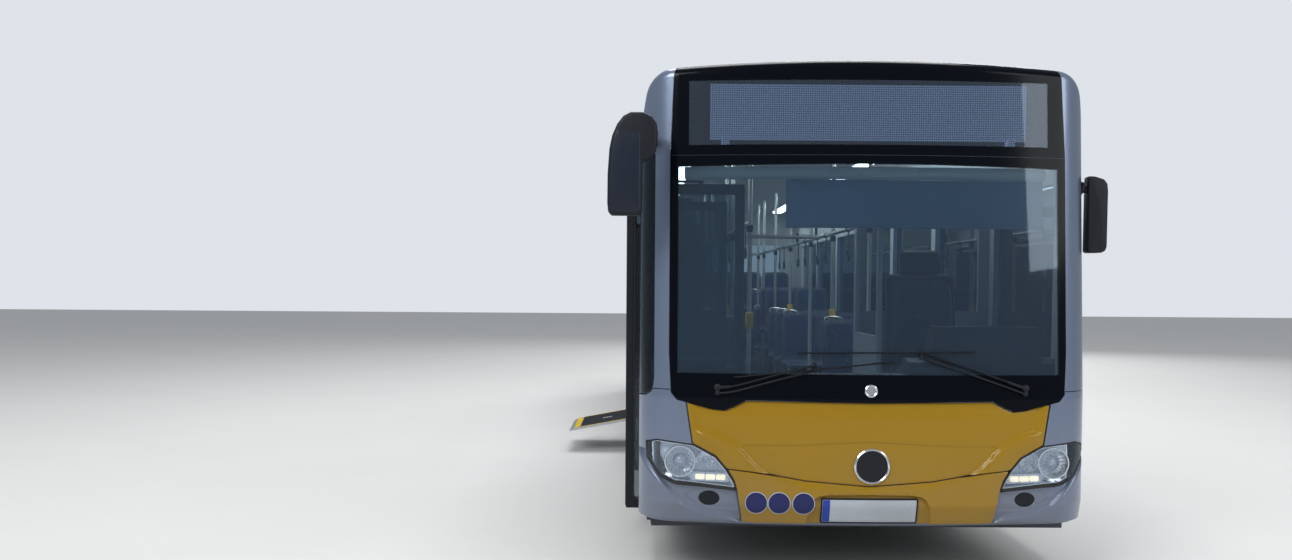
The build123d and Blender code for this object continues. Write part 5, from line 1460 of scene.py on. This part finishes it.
# %% Pads
def pad(place, width, length, thick, crown, sides=14):
    """A crowned pad in the XY plane of place, its seam low round the rim."""
    points, faces = [], []
    steps = np.linspace(-1, 1, sides + 1)
    for top in (1, 0):
        for v in steps:
            for u in steps:
                # A square grid pressed into a rounded rectangle
                x, y = u * sqrt(1 - 0.12 * v ** 6), v * sqrt(1 - 0.12 * u ** 6)
                edge = max(abs(u), abs(v))
                swell = (1 - abs(u) ** 5) * (1 - abs(v) ** 5)
                bolster = 0.35 * crown * (smooth_step((abs(u) - 0.45) / 0.3)
                                          - smooth_step((abs(u) - 0.86) / 0.14))
                high = thick * (1 - edge ** 9) + (crown * swell + bolster) if top else 0.0
                points.append(place @ Vector((x * width / 2, y * length / 2, high + (0.004 if top else 0.0))))
    row = sides + 1
    under = row * row
    for j in range(sides):
        for i in range(sides):
            a = j * row + i
            faces.append((a, a + 1, a + row + 1, a + row))
            faces.append((under + a, under + a + row, under + a + row + 1, under + a + 1))
    rim = [i for i in range(row)] + [row * j + sides for j in range(1, row)]
    rim += [row * sides + i for i in range(sides - 1, -1, -1)] + [row * j for j in range(sides - 1, 0, -1)]
    for a, b in zip(rim, rim[1:] + rim[:1]):
        faces.append((a, a + under, b + under, b))
    seam = [points[i] + (place.to_3x3() @ Vector((0, 0, -0.001))) for i in rim]
    return (points, faces), closed_tube(seam, 0.0032, 6)


def weave(name, ground, thread, accent):
    """Flat woven cloth with a small regular figure in a second colour."""
    finish = Finish(name)
    x, y, z = finish.axes()
    lines = (x * 60.0 + z * 44.0).sine() * (y * 52.0 + z * 31.0).sine()
    figure = finish.speckle(34) < 0.26
    cloth = finish.mix(finish.noise(240, 2), ground, thread)
    shade = finish.mix(figure * (lines > 0.0), cloth, accent)
    relief = finish.bump(finish.noise(520, 2), strength=0.5, distance=0.0008)
    return finish.done(finish.principled(shade, 0.92, normal=relief, specular_ior_level=0.15,
                                         sheen_weight=0.25))


# %% Cushions and backs
CLOTH = weave("seat_cloth", linear(26, 34, 66), linear(34, 44, 84), linear(66, 88, 148))
PIPING = plastic("seat_piping", linear(20, 24, 38), roughness=0.7)
# Places on a passenger seat: heights over its floor, distances behind its front edge
SEAT_HIGH, BENCH_WIDTH = 1.012, 0.6
CUSHION_BACK, CUSHION_RISE, CUSHION_TILT = 0.205, 0.434, -3.0
REST_BACK, REST_RISE, BACK_LEAN = 0.399, 0.742, 8.5
cushions, backs, piping = [], [], []
for low, high in islands("passenger_seats"):
    bench = high.x - low.x > BENCH_WIDTH
    floor_z = high.z - SEAT_HIGH
    centres = [(low.x * 3 + high.x) / 4, (low.x + high.x * 3) / 4] if bench else [(low.x + high.x) / 2]
    for x in centres:
        seat_spot = (x, low.y + CUSHION_BACK, floor_z + CUSHION_RISE)
        seat_place = Matrix.Translation(seat_spot) @ turned_by(CUSHION_TILT, "X")
        cushion, seam = pad(seat_place, width=0.372, length=0.300, thick=0.010, crown=0.014)
        cushions.append(cushion)
        piping.append(seam)
        back_spot = (x, low.y + REST_BACK, floor_z + REST_RISE)
        back_place = Matrix.Translation(back_spot) @ turned_by(90 - BACK_LEAN, "X")
        cushion, seam = pad(back_place, width=0.360, length=0.470, thick=0.008, crown=0.010)
        backs.append(cushion)
        piping.append(seam)
for name, shapes in (("seat_cushions", cushions), ("back_cushions", backs)):
    piece(name, shapes, CLOTH, "coach", 60)
piece("seat_piping", piping, PIPING, "coach", 80)

# %% Handles on the seat backs
AISLE_HALF = 0.6
LAST_ROW_Y = 8.3
handles = []
for low, high in islands("passenger_seats"):
    if high.x - low.x > BENCH_WIDTH or low.y > LAST_ROW_Y:
        continue
    inner = low.x + 0.03 if high.x > 0 and abs(low.x) < abs(high.x) else high.x - 0.03
    if abs(inner) > AISLE_HALF:
        continue
    y, z = high.y - 0.012, high.z - 0.012
    away = 1 if inner > 0 else -1
    # The handle's run from the back's edge: outwards, along the bus and up
    run = [(0, -0.028, -0.14), (0, -0.006, -0.02), (0, -0.004, 0.018), (0.05, -0.004, 0.034),
           (0.14, -0.004, 0.022), (0.15, -0.006, -0.008)]
    handles.append(tube(smooth_path([(inner + away * a, y + b, z + c) for a, b, c in run], 5), 0.011, 10))
piece("seat_handles", handles, STEEL_RAIL, "coach", 60)

# %% Hanging handles
STRAP_BLACK = plastic("strap_black", linear(30, 31, 34), roughness=0.7)
straps, loops, clamps, boxes, buttons = [], [], [], [], []
BAR_X, BAR_Z, BAR_RADIUS = 0.450, 2.150, 0.017
STRAP_YS = (-0.15, 0.35, 1.45, 1.95, 2.75, 3.25, 4.45, 4.9)
HANGER_YS = (0.35, 1.95, 3.25)
POLE_TOP, POLE_MERGE = 2.86, 0.08


def collar(half, lip, rise, place, along, sides):
    """A ring clamped round a rail, its outer face shorter than its bore by the lip."""
    bore, outer = BAR_RADIUS + 0.0005, BAR_RADIUS + rise
    return turned([(-half, bore), (lip - half, outer), (half - lip, outer), (half, bore)], place, along,
                  sides)


for sense in (1, -1):
    for y in STRAP_YS:
        x = sense * BAR_X
        straps.append(block((x - 0.004, y - 0.016, BAR_Z - 0.175), (x + 0.004, y + 0.016, BAR_Z - 0.012),
                            0.0015, 1))
        straps.append(collar(0.017, 0, 0.005, (x, y, BAR_Z), (0, 1, 0), 20))
        ring = [(x, y + 0.052 * sin(t), BAR_Z - 0.215 - 0.042 * cos(t)) for t in np.linspace(0, 2 * pi, 21)]
        loops.append(tube(ring + ring[1:2], 0.0085, 8))
        if y in HANGER_YS:
            clamps.append(disc((x, y + 0.09, BAR_Z + 0.01), (0, 0, 1), radius=0.013, depth=0.10, sides=14))

# %% Clamps and stop buttons on the poles
# The CAD's poles are found by their upper ends, in steps of an eighth of a metre
stations = {}
for v in nodes["grab_rails"].data.vertices:
    if v.co.z > POLE_TOP:
        stations.setdefault((v.co.x > 0, round(v.co.y * 8)), []).append(v.co.y)
pole_ys = sorted({(1 if on_left else -1, round(sum(ys) / len(ys), 3))
                  for (on_left, _), ys in stations.items()})
merged_poles = []
for sense, y in pole_ys:
    if not merged_poles or merged_poles[-1][0] != sense or y - merged_poles[-1][1] > POLE_MERGE:
        merged_poles.append([sense, y])
for number, (sense, y) in enumerate(merged_poles):
    x = sense * BAR_X
    clamps.append(collar(0.026, 0.004, 0.007, (x, y, BAR_Z - 0.045), (0, 0, 1), 24))
    if number % 2 == 0:
        boxes.append(block((x - 0.028, y - 0.030, 1.36), (x + 0.028, y + 0.030, 1.475), 0.010, 3))
        buttons.append(disc((x - sense * 0.028, y, 1.425), (-sense, 0, 0), radius=0.017, depth=0.006,
                            bevel=0.003, sides=24))
piece("hanging_straps", straps, STRAP_BLACK, "coach")
piece("hanging_loops", loops, STRAP_BLACK, "coach", 60)
piece("rail_clamps", clamps, BLACK, "coach")
piece("stop_boxes", boxes, SIGNAL_YELLOW, "coach")
piece("stop_buttons", buttons, RED_LENS, "coach")


# %% Rays at the CAD and the lights' finish
def onto(node, start, towards, reach=5.0):
    """The first point of a CAD node met from start, or None."""
    met, spot, _, _ = nodes[node].ray_cast(Vector(start), Vector(towards).normalized(), distance=reach)
    return spot if met else None


def ceiling_light():
    """An opal strip light."""
    finish = Finish("ceiling_light")
    x, y, z = finish.axes()
    ends = (y * 0.82).fraction().between(0.0, 0.03)
    glow = finish.mix(ends, (0.30, 0.33, 0.36), (0.90, 0.96, 1.0))
    return finish.done(finish.principled(linear(226, 232, 236), 0.4, emission_color=glow,
                                         emission_strength=9.0))


# %% Ceiling lights
LIGHT_PANEL = ceiling_light()
LIGHT_X, LIGHT_HALF, LIGHT_LENGTH, LIGHT_PITCH = 0.86, 0.07, 1.19, 1.22
CEILING_RANGE = (-1.2, 8.4)
TRAY_HALF, TRAY_ENDS = 0.10, (-1.25, 8.6)
USUAL_CEILING = 2.80
lights, covings = [], []
for sense in (1, -1):
    x = sense * LIGHT_X
    spot = onto("roof", (x, 3.0, 2.2), (0, 0, 1))
    height = spot.z if spot else USUAL_CEILING
    print("ceiling over the seats:", round(height, 3))
    for start in np.arange(*CEILING_RANGE, LIGHT_PITCH):
        lights.append(block((x - LIGHT_HALF, start, height - 0.030),
                            (x + LIGHT_HALF, start + LIGHT_LENGTH, height - 0.004), 0.010, 3))
    covings.append(block((x - TRAY_HALF, TRAY_ENDS[0], height - 0.014),
                         (x + TRAY_HALF, TRAY_ENDS[1], height + 0.001), 0.004))
piece("ceiling_lights", lights, LIGHT_PANEL, "coach")
piece("ceiling_trays", covings, PALE_PANEL, "coach")

# %% [markdown]
# ## Driver's place
# Behind the windscreen hang a roller blind and the lining that holds it. The dash carries a bank of
# dials in black rings and switches on both wings. A board with rows of lamps shows the route; here
# all its lamps glow alike, so it stays blank.

# %% Blind and lining
BLIND_CLOTH = plastic("blind_cloth", linear(92, 108, 132), roughness=0.8, grain=500, depth=0.1)
BLIND_X, BLIND_Z, BLIND_INSET = (-0.45, 1.03), (2.010, 2.275), 0.16
blind_line = [(x, on_front(x, BLIND_Z[0], BLIND_INSET)[0].y) for x in np.linspace(*BLIND_X, 25)]
# The sheet's section: height, and how far it hangs back from the line
section = [(BLIND_Z[0], 0), (BLIND_Z[0], 0.004), (BLIND_Z[1], 0.012), (BLIND_Z[1], 0.008)]
points = [Vector((x, y + off, z)) for z, off in section for x, y in blind_line]
count = len(blind_line)
faces = [(k * count + i, k * count + i + 1, ((k + 1) % 4) * count + i + 1, ((k + 1) % 4) * count + i)
         for k in range(4) for i in range(count - 1)]
faces += [(0, count, 2 * count, 3 * count), (4 * count - 1, 3 * count - 1, 2 * count - 1, count - 1)]
hem = tube([Vector((x, y + 0.002, BLIND_Z[0])) for x, y in blind_line], 0.009, 8)
piece("sun_blind", [(points, faces), hem], BLIND_CLOTH, "coach", 60)
header = [Vector((x, on_front(x, 2.31, 0.15)[0].y, 2.312)) for x in np.linspace(-1.02, 1.03, 33)]
piece("screen_header", [tube(header, 0.040, 14, 0.9)], PALE_PANEL, "coach", 60)

# %% Dials and switches
dials, rings, switches = [], [], []
WHEEL_X = 0.700
# Each dial: its place across the bank and its radius
DIALS = [(-0.17, 0.052), (-0.055, 0.062), (0.085, 0.062), (0.195, 0.042)]
KEY_PITCH, KEY_SIZE = 0.028, 0.020
DIAL_BLACK = plastic("dial_black", linear(10, 12, 16), roughness=0.25, grain=300, depth=0.02)
face_place = Matrix.Translation((WHEEL_X, -2.216, 1.345)) @ turned_by(-90 + 24, "X")
for x, radius in DIALS:
    spot = face_place @ Vector((x, 0, 0.001))
    out = face_place.to_3x3() @ Vector((0, 0, -1))
    out = out if out.y > 0 else -out
    dials.append(disc(spot, out, radius, depth=0.004, bevel=0.001, sides=32))
    rings.append(turned([(0, radius), (0.010, radius + 0.002), (0.010, radius + 0.006), (0, radius + 0.008)],
                        spot, out, 36))
piece("dash_dials", dials, DIAL_BLACK, "coach")
piece("dash_rings", rings, BLACK_GLOSS, "coach")
for x in np.arange(0.350, 0.440, KEY_PITCH):
    for z in (1.020, 1.055):
        switches.append(block((x, -2.172, z), (x + KEY_SIZE, -2.150, z + 0.026), 0.004))
for x in np.arange(0.99, 1.16, KEY_PITCH):
    for y in (-2.33, -2.29):
        switches.append(block((x, y, 1.236), (x + KEY_SIZE, y + 0.026, 1.256), 0.004))
piece("dash_switches", switches, GREY_PANEL, "coach")

# %% The wheel's pad and the driver's seat
hub_place = Matrix.Translation((WHEEL_X, -1.960, 1.230)) @ turned_by(-28, "X")
column = hub_place.to_3x3() @ Vector((0, 0, 1))
horn = disc(hub_place @ Vector((0, 0, 0.003)), column, radius=0.060, depth=0.014, bevel=0.006, sides=40)
piece("horn_pad", [horn], BLACK_GLOSS, "coach")
seat_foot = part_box("driver_seat")[0].z
cushion_place = Matrix.Translation((WHEEL_X, -1.400, seat_foot + 0.446))
driver_cushion, driver_seam = pad(cushion_place, width=0.44, length=0.42, thick=0.012, crown=0.022)
driver_back_place = Matrix.Translation((WHEEL_X, -1.130, 0.640 + 0.450)) @ turned_by(-10, "X")
driver_back_place = driver_back_place @ Matrix.Translation((0, -0.051, 0.330)) @ turned_by(90, "X")
driver_back, back_seam = pad(driver_back_place, width=0.42, length=0.60, thick=0.010, crown=0.018)
SEAT_GREY = weave("driver_cloth", linear(34, 38, 48), linear(44, 48, 60), linear(70, 78, 96))
piece("driver_pads", [driver_cushion, driver_back], SEAT_GREY, "coach", 60)
piece("driver_piping", [driver_seam, back_seam], PIPING, "coach", 80)


# %% Route board
LAMPS_PER_METRE = 80.0
WING_X = (0.890, 1.030)


def lamp_board():
    """A blank board: a fine grid of faintly lit lamps on grey."""
    finish = Finish("lamp_board")
    x, y, z = finish.axes()
    across = ((x * LAMPS_PER_METRE + 200.0).fraction() - 0.5).absolute()
    along = ((z * LAMPS_PER_METRE).fraction() - 0.5).absolute()
    spot = (across * across + along * along) < 0.09
    shade = finish.mix(spot, linear(52, 60, 74), linear(120, 132, 152))
    glow = finish.mix(spot, (0.05, 0.06, 0.08), (0.26, 0.32, 0.40))
    return finish.done(finish.principled(shade, 0.5, emission_color=glow, emission_strength=3.6))


nodes["display_board"].data.materials[0] = lamp_board()
board_low, board_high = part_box("display_board")
surround = [block((board_low.x - 0.145, board_high.y + 0.002, board_low.z + 0.005),
                  (board_high.x + 0.145, board_high.y + 0.012, board_high.z + 0.045), 0.004)]
for sense in (1, -1):
    surround.append(block((sense * WING_X[0], board_high.y - 0.012, board_low.z + 0.02),
                          (sense * WING_X[1], board_high.y + 0.004, board_high.z + 0.03), 0.006))
piece("board_surround", surround, BLACK, "coach")
print("route board: blank grid of lamps")

# %% [markdown]
# ## Wheels
# A tyre is a profile turned about its axle: rounded walls, a flat tread with four grooves round it
# and notched shoulders. It takes the place of the CAD's plain one. The front wheels' discs bulge
# out and the twins' are sunk, so the nuts and the hub's cap lie at different depths.


# %% Tyres and nuts
GROOVES = (-0.054, -0.018, 0.018, 0.054)
NOTCH_EVERY, NOTCH_DEPTH = 4, 0.007


def tyre(centre, sides=144):
    """A tyre about the X axis, from pairs of distance across it and radius."""
    wall = [(-0.0915, 0.2885), (-0.112, 0.298), (-0.131, 0.335), (-0.1372, 0.380), (-0.1368, 0.405),
            (-0.133, 0.430), (-0.124, 0.452)]
    tread = [(-0.113, 0.466), (-0.097, 0.474), (-0.078, 0.4765)]
    for x in GROOVES:
        tread += [(x - 0.0055, 0.4778), (x - 0.0045, 0.466), (x + 0.0045, 0.466), (x + 0.0055, 0.4778)]
    tread += [(-x, r) for x, r in reversed(tread[:3])]
    profile = wall + tread + [(-x, r) for x, r in reversed(wall)]
    notched = {len(wall), len(wall) + 1, len(profile) - len(wall) - 1, len(profile) - len(wall) - 2}
    points, faces = turned(profile, centre, (1, 0, 0), sides)
    count = len(profile)
    middle = Vector(centre)
    for i in range(0, sides, NOTCH_EVERY):
        for k in notched:
            spot = points[i * count + k]
            arm = spot - middle
            arm.x = 0
            points[i * count + k] = spot - arm.normalized() * NOTCH_DEPTH
    return points, faces


def nut(centre, along, radius=0.0165, high=0.022):
    """A nut and its washer."""
    profile = [(0, 0.0), (0, radius), (high * 0.86, radius), (high, radius * 0.86), (high, 0.0)]
    hexagon = turned(profile, centre, along, 6, closed=False)
    washer = disc(Vector(centre) - Vector(along) * 0.001, along, radius * 1.28, depth=0.005, bevel=0.001,
                  sides=20)
    return [hexagon, washer]


# %% All four wheels
TYRE_BLACK = plastic("tyre_rubber", linear(27, 27, 28), roughness=0.75, grain=420, depth=0.25, dust=0.55,
                     shine=0.25)
FRONT_X, REAR_X, FACE_REACH, DISC_THICK, HUB_REACH = 1.0505, 0.915, 0.155, 0.016, 0.172
FRONT_NUTS, REAR_NUTS = 0.146, 0.138
NUTS, CAP_BOLTS, CAP_RADIUS = 10, 8, 0.086
HUB_PROFILE = [(-0.004, 0.099), (0.004, 0.1005), (0.008, 0.096), (0.009, 0.078), (0.022, 0.072),
               (0.028, 0.058), (0.030, 0.0)]


def about_axle(x, axle_y, radius, turn):
    """A point on a circle round an axle."""
    return x, axle_y + radius * cos(turn), AXLE_Z + radius * sin(turn)


for sense, side in ((1, "left"), (-1, "right")):
    for end, axle_y in (("front", 0.0), ("rear", WHEELBASE)):
        node = "%s_tyre%s_%s" % (end, "" if end == "front" else "s", side)
        low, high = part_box(node)
        middle = (low.x + high.x) / 2
        centres = [middle] if end == "front" else [middle - FACE_REACH, middle + FACE_REACH]
        body = "front_wheel_" + side if end == "front" else "rear_wheels_" + side
        tyres = [tyre((x, axle_y, AXLE_Z)) for x in centres]
        made = piece("%s_tyre_tread_%s" % (end, side), tyres, TYRE_BLACK, body, 60)
        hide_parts(node)
        out = Vector((sense, 0, 0))
        if end == "front":
            flange, ring, hub = FRONT_X + FACE_REACH, FRONT_NUTS, FRONT_X + HUB_REACH
        else:
            flange, ring, hub = REAR_X + DISC_THICK, REAR_NUTS, REAR_X + HUB_REACH
        shapes = []
        for k in range(NUTS):
            shapes += nut(about_axle(sense * flange, axle_y, ring, 2 * pi * (k + 0.5) / NUTS), out)
        shapes.append(turned(HUB_PROFILE, (sense * hub, axle_y, AXLE_Z), out, 48, closed=False))
        for k in range(CAP_BOLTS):
            spot = about_axle(sense * (hub + 0.008), axle_y, CAP_RADIUS, 2 * pi * k / CAP_BOLTS)
            shapes.append(nut(spot, out, 0.007, 0.007)[0])
        piece("%s_wheel_nuts_%s" % (end, side), shapes, WHEEL_SILVER, body, 40)
        valve_spot = Vector((sense * (flange + 0.002), axle_y + 0.215, AXLE_Z + 0.02))
        stem = tube([valve_spot, valve_spot + out * 0.03], 0.0045, 8)
        cap = tube([valve_spot + out * 0.022, valve_spot + out * 0.036], 0.006, 10)
        piece("%s_valve_%s" % (end, side), [stem, cap], RUBBER, body)

# %% [markdown]
# ## Rear and roof
# The rear follows a bow like the front's, so its trims are laid onto it by rays cast at the CAD's
# own surface. The engine's flap has a louvred grille, each lamp bank holds round lenses over a
# reflector, and a bumper strip runs across below. On the roof the cooling unit draws air in
# through its sides and blows it out through three guarded fans.


# %% Lines on the rear
BEHIND_Y = 9.8


def from_behind(node, x, z):
    """The point of a node that is met from behind at x and z."""
    return onto(node, (x, BEHIND_Y, z), (0, -1, 0))


def rear_line(node, z, x0, x1, proud, count=25):
    """A level line across a rear node, standing proud of it."""
    line = []
    for x in np.linspace(x0, x1, count):
        spot = from_behind(node, x, z)
        if spot:
            line.append(spot + Vector((0, proud, 0)))
    return line


# %% Rear lamp banks
# Each round lens of a bank: its height, colour and radius
LENSES = [(1.225, "amber", 0.036), (1.125, "red", 0.040), (1.022, "red", 0.040), (0.925, "clear", 0.036)]
LENS_X = 1.140
REFLECTOR_X, REFLECTOR_Z = (1.108, 1.172), (0.745, 0.835)
lenses = {"red": [], "amber": [], "clear": []}
bezels = []
for sense in (1, -1):
    for z, colour, radius in LENSES:
        spot = from_behind("tail_lamps", sense * LENS_X, z)
        beside = from_behind("tail_lamps", sense * (LENS_X + 0.010), z)
        if not spot or not beside:
            continue
        run = beside - spot
        out = Vector((-run.y, run.x, 0)).normalized()
        out = out if out.y > 0 else -out
        lenses[colour].append(disc(spot - out * 0.002, out, radius, depth=0.012, bevel=0.006, sides=32))
        profile = [(-0.002, radius), (0.007, radius + 0.001), (0.006, radius + 0.005),
                   (-0.002, radius + 0.007)]
        bezels.append(turned(profile, spot, out, 32))
    (x0, x1), (z0, z1) = REFLECTOR_X, REFLECTOR_Z
    rows = [rear_line("tail_lamps", z, sense * x0, sense * x1, rise, 5) for z, rise in
            ((z0, -0.001), (z0 + 0.002, 0.004), (z1 - 0.002, 0.004), (z1, -0.001))]
    if all(len(row) == 5 for row in rows):
        points = [p for row in rows for p in row]
        faces = [(k * 5 + i, k * 5 + i + 1, (k + 1) * 5 + i + 1, (k + 1) * 5 + i) for k in range(3)
                 for i in range(4)]
        faces += [(0, 5, 10, 15), (19, 14, 9, 4)]
        lenses["red"].append((points, faces))
piece("rear_lamps_red", lenses["red"], RED_LENS, "coach")
piece("rear_lamps_amber", lenses["amber"], AMBER_LENS, "coach")
piece("rear_lamps_clear", lenses["clear"], CLEAR_LENS, "coach")
piece("rear_lamp_rings", bezels, BLACK, "coach")

# %% Engine grille
GRILLE_Z, GRILLE_HALF, SLAT_HALF = (0.620, 1.060), 0.805, 0.78
SLATS, SLAT_FIRST, SLAT_PITCH = 11, 0.640, 0.040
BAR_HALF = 0.27
slats, surround = [], []
for k in range(SLATS):
    z = SLAT_FIRST + k * SLAT_PITCH
    slats.append(tube(rear_line("engine_flap", z, -SLAT_HALF, SLAT_HALF, 0.003), 0.011, 8, 0.55))
for z in GRILLE_Z:
    surround.append(tube(rear_line("engine_flap", z, -GRILLE_HALF, GRILLE_HALF, 0.002), 0.009, 8))
for x in (-GRILLE_HALF, -BAR_HALF, BAR_HALF, GRILLE_HALF):
    spots = [from_behind("engine_flap", x, z) for z in GRILLE_Z]
    surround.append(tube([spot + Vector((0, 0.002, 0)) for spot in spots], 0.009, 8))
# A dark sheet behind the slats: painted shade in the grille's hollow.
shade_rows = [rear_line("engine_flap", z, -0.80, 0.80, 0.0012) for z in (0.624, 1.056)]
count = len(shade_rows[0])
sheet = [p for row in shade_rows for p in row]
sheet += [p - Vector((0, 0.003, 0)) for p in sheet]
sheet_faces = [(i + 1, i, count + i, count + i + 1) for i in range(count - 1)]
sheet_faces += [(2 * count + i, 2 * count + i + 1, 3 * count + i + 1, 3 * count + i)
                for i in range(count - 1)]
piece("grille_shadow_sheet", [(sheet, sheet_faces)], SHADOW_BLACK, "engine_flap")
piece("grille_slats", slats + surround, BLACK, "engine_flap", 60)
HANDLE_Z = 1.16
HANDLE_RUN = [(0.46, -0.002), (0.47, 0.020), (0.55, 0.020), (0.56, -0.002)]
handles = []
for side in (1, -1):
    run = [from_behind("engine_flap", side * x, HANDLE_Z) + Vector((0, rise, 0)) for x, rise in HANDLE_RUN]
    handles.append(tube(smooth_path(run, 4), 0.008, 10))
piece("rear_flap_handles", handles, BLACK, "engine_flap")

# %% Rear window seal, bumper strip and stop lamp
low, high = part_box("rear_window")
border = divided(rounded(frame_box(low.x, high.x, low.z, high.z, 0.004), 0.06, 6), 0.12)
seal_line = [spot for spot in (from_behind("rear_window", x, z) for x, z in border) if spot]
piece("rear_window_seal", [closed_tube(seal_line, 0.009)], RUBBER, "coach", 60)
bumper_line = rear_line("rear_wall", 0.470, -1.20, 1.20, 0.004, 41)
piece("rear_bumper_strip", [tube(bumper_line, 0.026, 12)], RUBBER, "coach", 60)
stop_line = rear_line("rear_wall", 2.470, -0.14, 0.14, 0.002, 7)
piece("high_stop_lamp", [tube(stop_line, 0.013)], RED_LENS, "coach")

# %% Cooling unit
FAN_YS = (3.95, 4.55, 5.15)
FAN_RADIUS, FAN_RINGS, FAN_ARMS = 0.225, (0.225, 0.172, 0.118, 0.064), 6
LOUVRE_LOW, LOUVRE_PITCH, LOUVRE_ROWS = 2.935, 0.024, 4
LOUVRE_LENGTH, LOUVRE_STEP = 0.54, 0.62
UNIT_JOINT_YS, UNIT_JOINT_HALF = (3.62, 4.25, 4.85, 5.48), 0.70
low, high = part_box("air_conditioner")
fan_rings, fan_bars, fan_well_shadows, grilles, covers = [], [], [], [], []
for y in FAN_YS:
    spot = Vector((0, y, high.z))
    # A dark disc under each guard: painted shade inside the fan's well.
    fan_well_shadows.append(disc(spot, (0, 0, 1), FAN_RADIUS, depth=0.0015, bevel=0.0005, sides=48))
    for radius in FAN_RINGS:
        ring = [spot + Vector((radius * cos(t), radius * sin(t), 0.007)) for t in np.linspace(0, 2 * pi, 41)]
        fan_rings.append(tube(ring + ring[1:2], 0.0045 if radius < FAN_RADIUS else 0.008, 6))
    for k in range(FAN_ARMS):
        arm = Vector((cos(pi * k / FAN_ARMS), sin(pi * k / FAN_ARMS), 0)) * FAN_RADIUS
        lift = Vector((0, 0, 0.006))
        fan_bars.append(tube([spot - arm + lift, spot + arm + lift], 0.0035, 6))
for sense in (1, -1):
    for row in range(LOUVRE_ROWS):
        z = LOUVRE_LOW + row * LOUVRE_PITCH
        for y0 in np.arange(low.y + 0.30, high.y - 0.60, LOUVRE_STEP):
            face = onto("air_conditioner", (sense * 1.5, y0 + 0.2, z), (-sense, 0, 0))
            if face:
                grilles.append(block((face.x - sense * 0.003, y0, z - 0.006),
                                     (face.x + sense * 0.005, y0 + LOUVRE_LENGTH, z + 0.006), 0.002, 1))
for y in UNIT_JOINT_YS:
    covers.append(block((-UNIT_JOINT_HALF, y - JOINT_HALF, high.z - 0.001),
                        (UNIT_JOINT_HALF, y + JOINT_HALF, high.z + 0.0006), 0.0003, 1))
piece("fan_well_shadows", fan_well_shadows, SHADOW_BLACK, "coach")
piece("fan_guards", fan_rings + fan_bars, BLACK, "coach", 60)
piece("unit_louvres", grilles, BLACK, "coach")
piece("unit_joints", covers, SHADOW_BLACK, "coach")

# %% Roof hatches
HATCH_MARGIN, HATCH_RIB_PITCH = 0.03, 0.18
hatch_rims, hatch_ribs = [], []
for low, high in islands("roof_hatches"):
    ring = rounded(frame_box(low.x, high.x, low.y, high.y, HATCH_MARGIN), 0.05, 5)
    hatch_rims.append(closed_tube([Vector((x, y, high.z + 0.001)) for x, y in ring], 0.006))
    for k in (-1, 0, 1):
        x = k * HATCH_RIB_PITCH
        hatch_ribs.append(block((x - 0.03, low.y + 0.10, high.z - 0.004),
                                (x + 0.03, high.y - 0.10, high.z + 0.006), 0.005))
piece("hatch_rims", hatch_rims, RUBBER, "coach", 60)
piece("hatch_ribs", hatch_ribs, ROOF_COVER, "coach")
